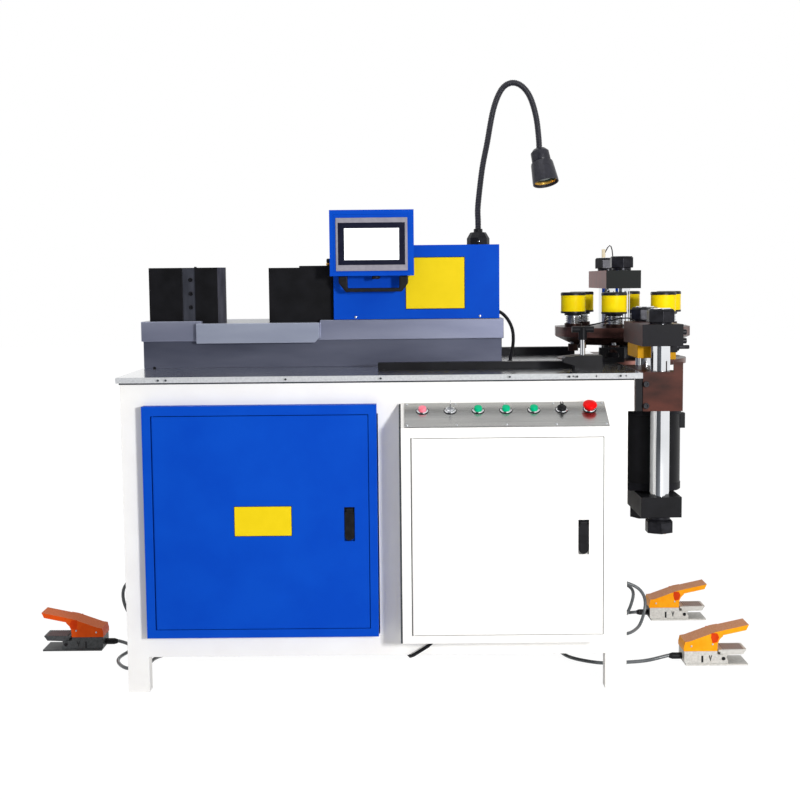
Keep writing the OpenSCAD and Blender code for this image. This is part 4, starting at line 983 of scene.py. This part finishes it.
# A darker copy of the cast grey: painted shade on the left pedal.
cast_grey_painted_shade = finish_of("cast_grey_painted_shade", "3f4143", "505254", metal=0.2, rough=0.45, grain=140, relief=0.06,
    shine=0.2)
# The left pedal's base, below zero on x, takes the darker copy as painted shade.
softened("pedal_bases", cast_grey, "cast_grey", edge=0.8,
    accents=[(cast_grey_painted_shade, lambda n, c: c.x < 0), (boot_rubber, lambda n, c: 909 < c.x < 939 or
    -899 < c.x < -869)])
# The guards' orange is the lighter copy that the right pedals show in full light.
orange_coat = finish_of("orange_coat", "ffa011", "ffac1c", rough=0.42, shine=0.08)
# A paler copy of the guards' orange for their roofs: painted light from above.
roof_painted_light = finish_of("roof_painted_light", "dd8a52", "ebb08a", rough=0.5, grain=300, shine=0.08)
# A deeper copy of the guards' orange: painted shade on the left pedal's guard.
orange_painted_shade = finish_of("orange_painted_shade", "e2500f", "ea5a16", rough=0.42, shine=0.08)
# A paler copy of the deeper orange: painted light on the left guard's roof, which is also in painted shade.
left_roof_light_and_shade = finish_of("left_roof_light_and_shade", "d2642c", "dd7440", rough=0.5, grain=300, shine=0.08)
# The roofs take the paler copies as painted light; the left guard's faces take the deeper copies as painted
# shade.
softened("pedal_guards", orange_coat, "orange_guard", edge=1.6,
    accents=[(roof_painted_light, lambda n, c: n.z > 0.7 and c.x > 0),
    (left_roof_light_and_shade, lambda n, c: n.z > 0.7 and c.x < 0), (orange_painted_shade, lambda n, c: n.z <= 0.7 and c.x < 0)])
groove_brown = finish_of("groove_brown", "6f5657", "7d6364", rough=0.6, grain=90, shine=0.05)
# The folds are flat patches in a darker red-orange on each guard side: the inner face of the guard's bend,
# painted as it looks in shade.
fold_painted_shade = finish_of("fold_painted_shade", "cf3a06", "dc4410", rough=0.45, grain=60, shine=0.08)
pedal_turns = [Matrix.Translation((-900, -107, 0)) @ Matrix.Rotation(math.pi, 4, "Z"),
    Matrix.Translation((940, -330, 0)), Matrix.Translation((934, 207, 0))]
for number, place in enumerate(("left", "front", "back")):
    body = f"treadle_{place}"
    # The left treadle takes the darker copy of the cast grey as painted shade.
    softened(body, cast_grey_painted_shade if place == "left" else cast_grey, "cast_grey", body, edge=0.5)
    lay = pedal_turns[number]
    grooves = Form(lay)
    for k in range(9):
        grooves.block((119.1 + 7.4 * k, 123.3 + 7.4 * k), (-33, 33), (46.0, 48.1))
    fitted(f"treadle_grooves_{place}", grooves, groove_brown, "black_plastic", body)
    folds = Form(lay)
    # Thin dark plates on each base side mark a slot and two slanted marks; the slot's plate is painted
    # shade for its inside.
    slots = Form(lay)
    for side in (-1, 1):
        span = sorted((side * 42, side * 42.5))
        folds.drawn([(82, 101), (100, 100), (106, 88), (100, 72), (86, 69), (81, 86)], "y", span)
        slots.block((52, 58), span, (9, 30))
        slots.drawn([(75, 31), (78, 31), (81.5, 16), (80, 12), (78.5, 16)], "y", span)
        slots.drawn([(85, 31), (82, 31), (80.5, 24), (81.8, 18)], "y", span)
    fitted(f"guard_folds_{place}", folds, fold_painted_shade, "orange_guard")
    fitted(f"base_slots_{place}", slots, rim_black, "black_plastic")
    square = lay.to_3x3()
    screwed(f"guard_screws_{place}", pan_head(3),
        [(lay @ Vector((x, side * 42.4, z)), square @ Vector((0, side, 0))) for side in (-1, 1)
        for x, z in ((86, 66), (21, 60))])
    bolted(f"pin_heads_{place}", socket_head(5.5, 3),
        [(lay @ Vector((120, side * 42.9, 21)), square @ Vector((0, side, 0))) for side in (-1, 1)], body)
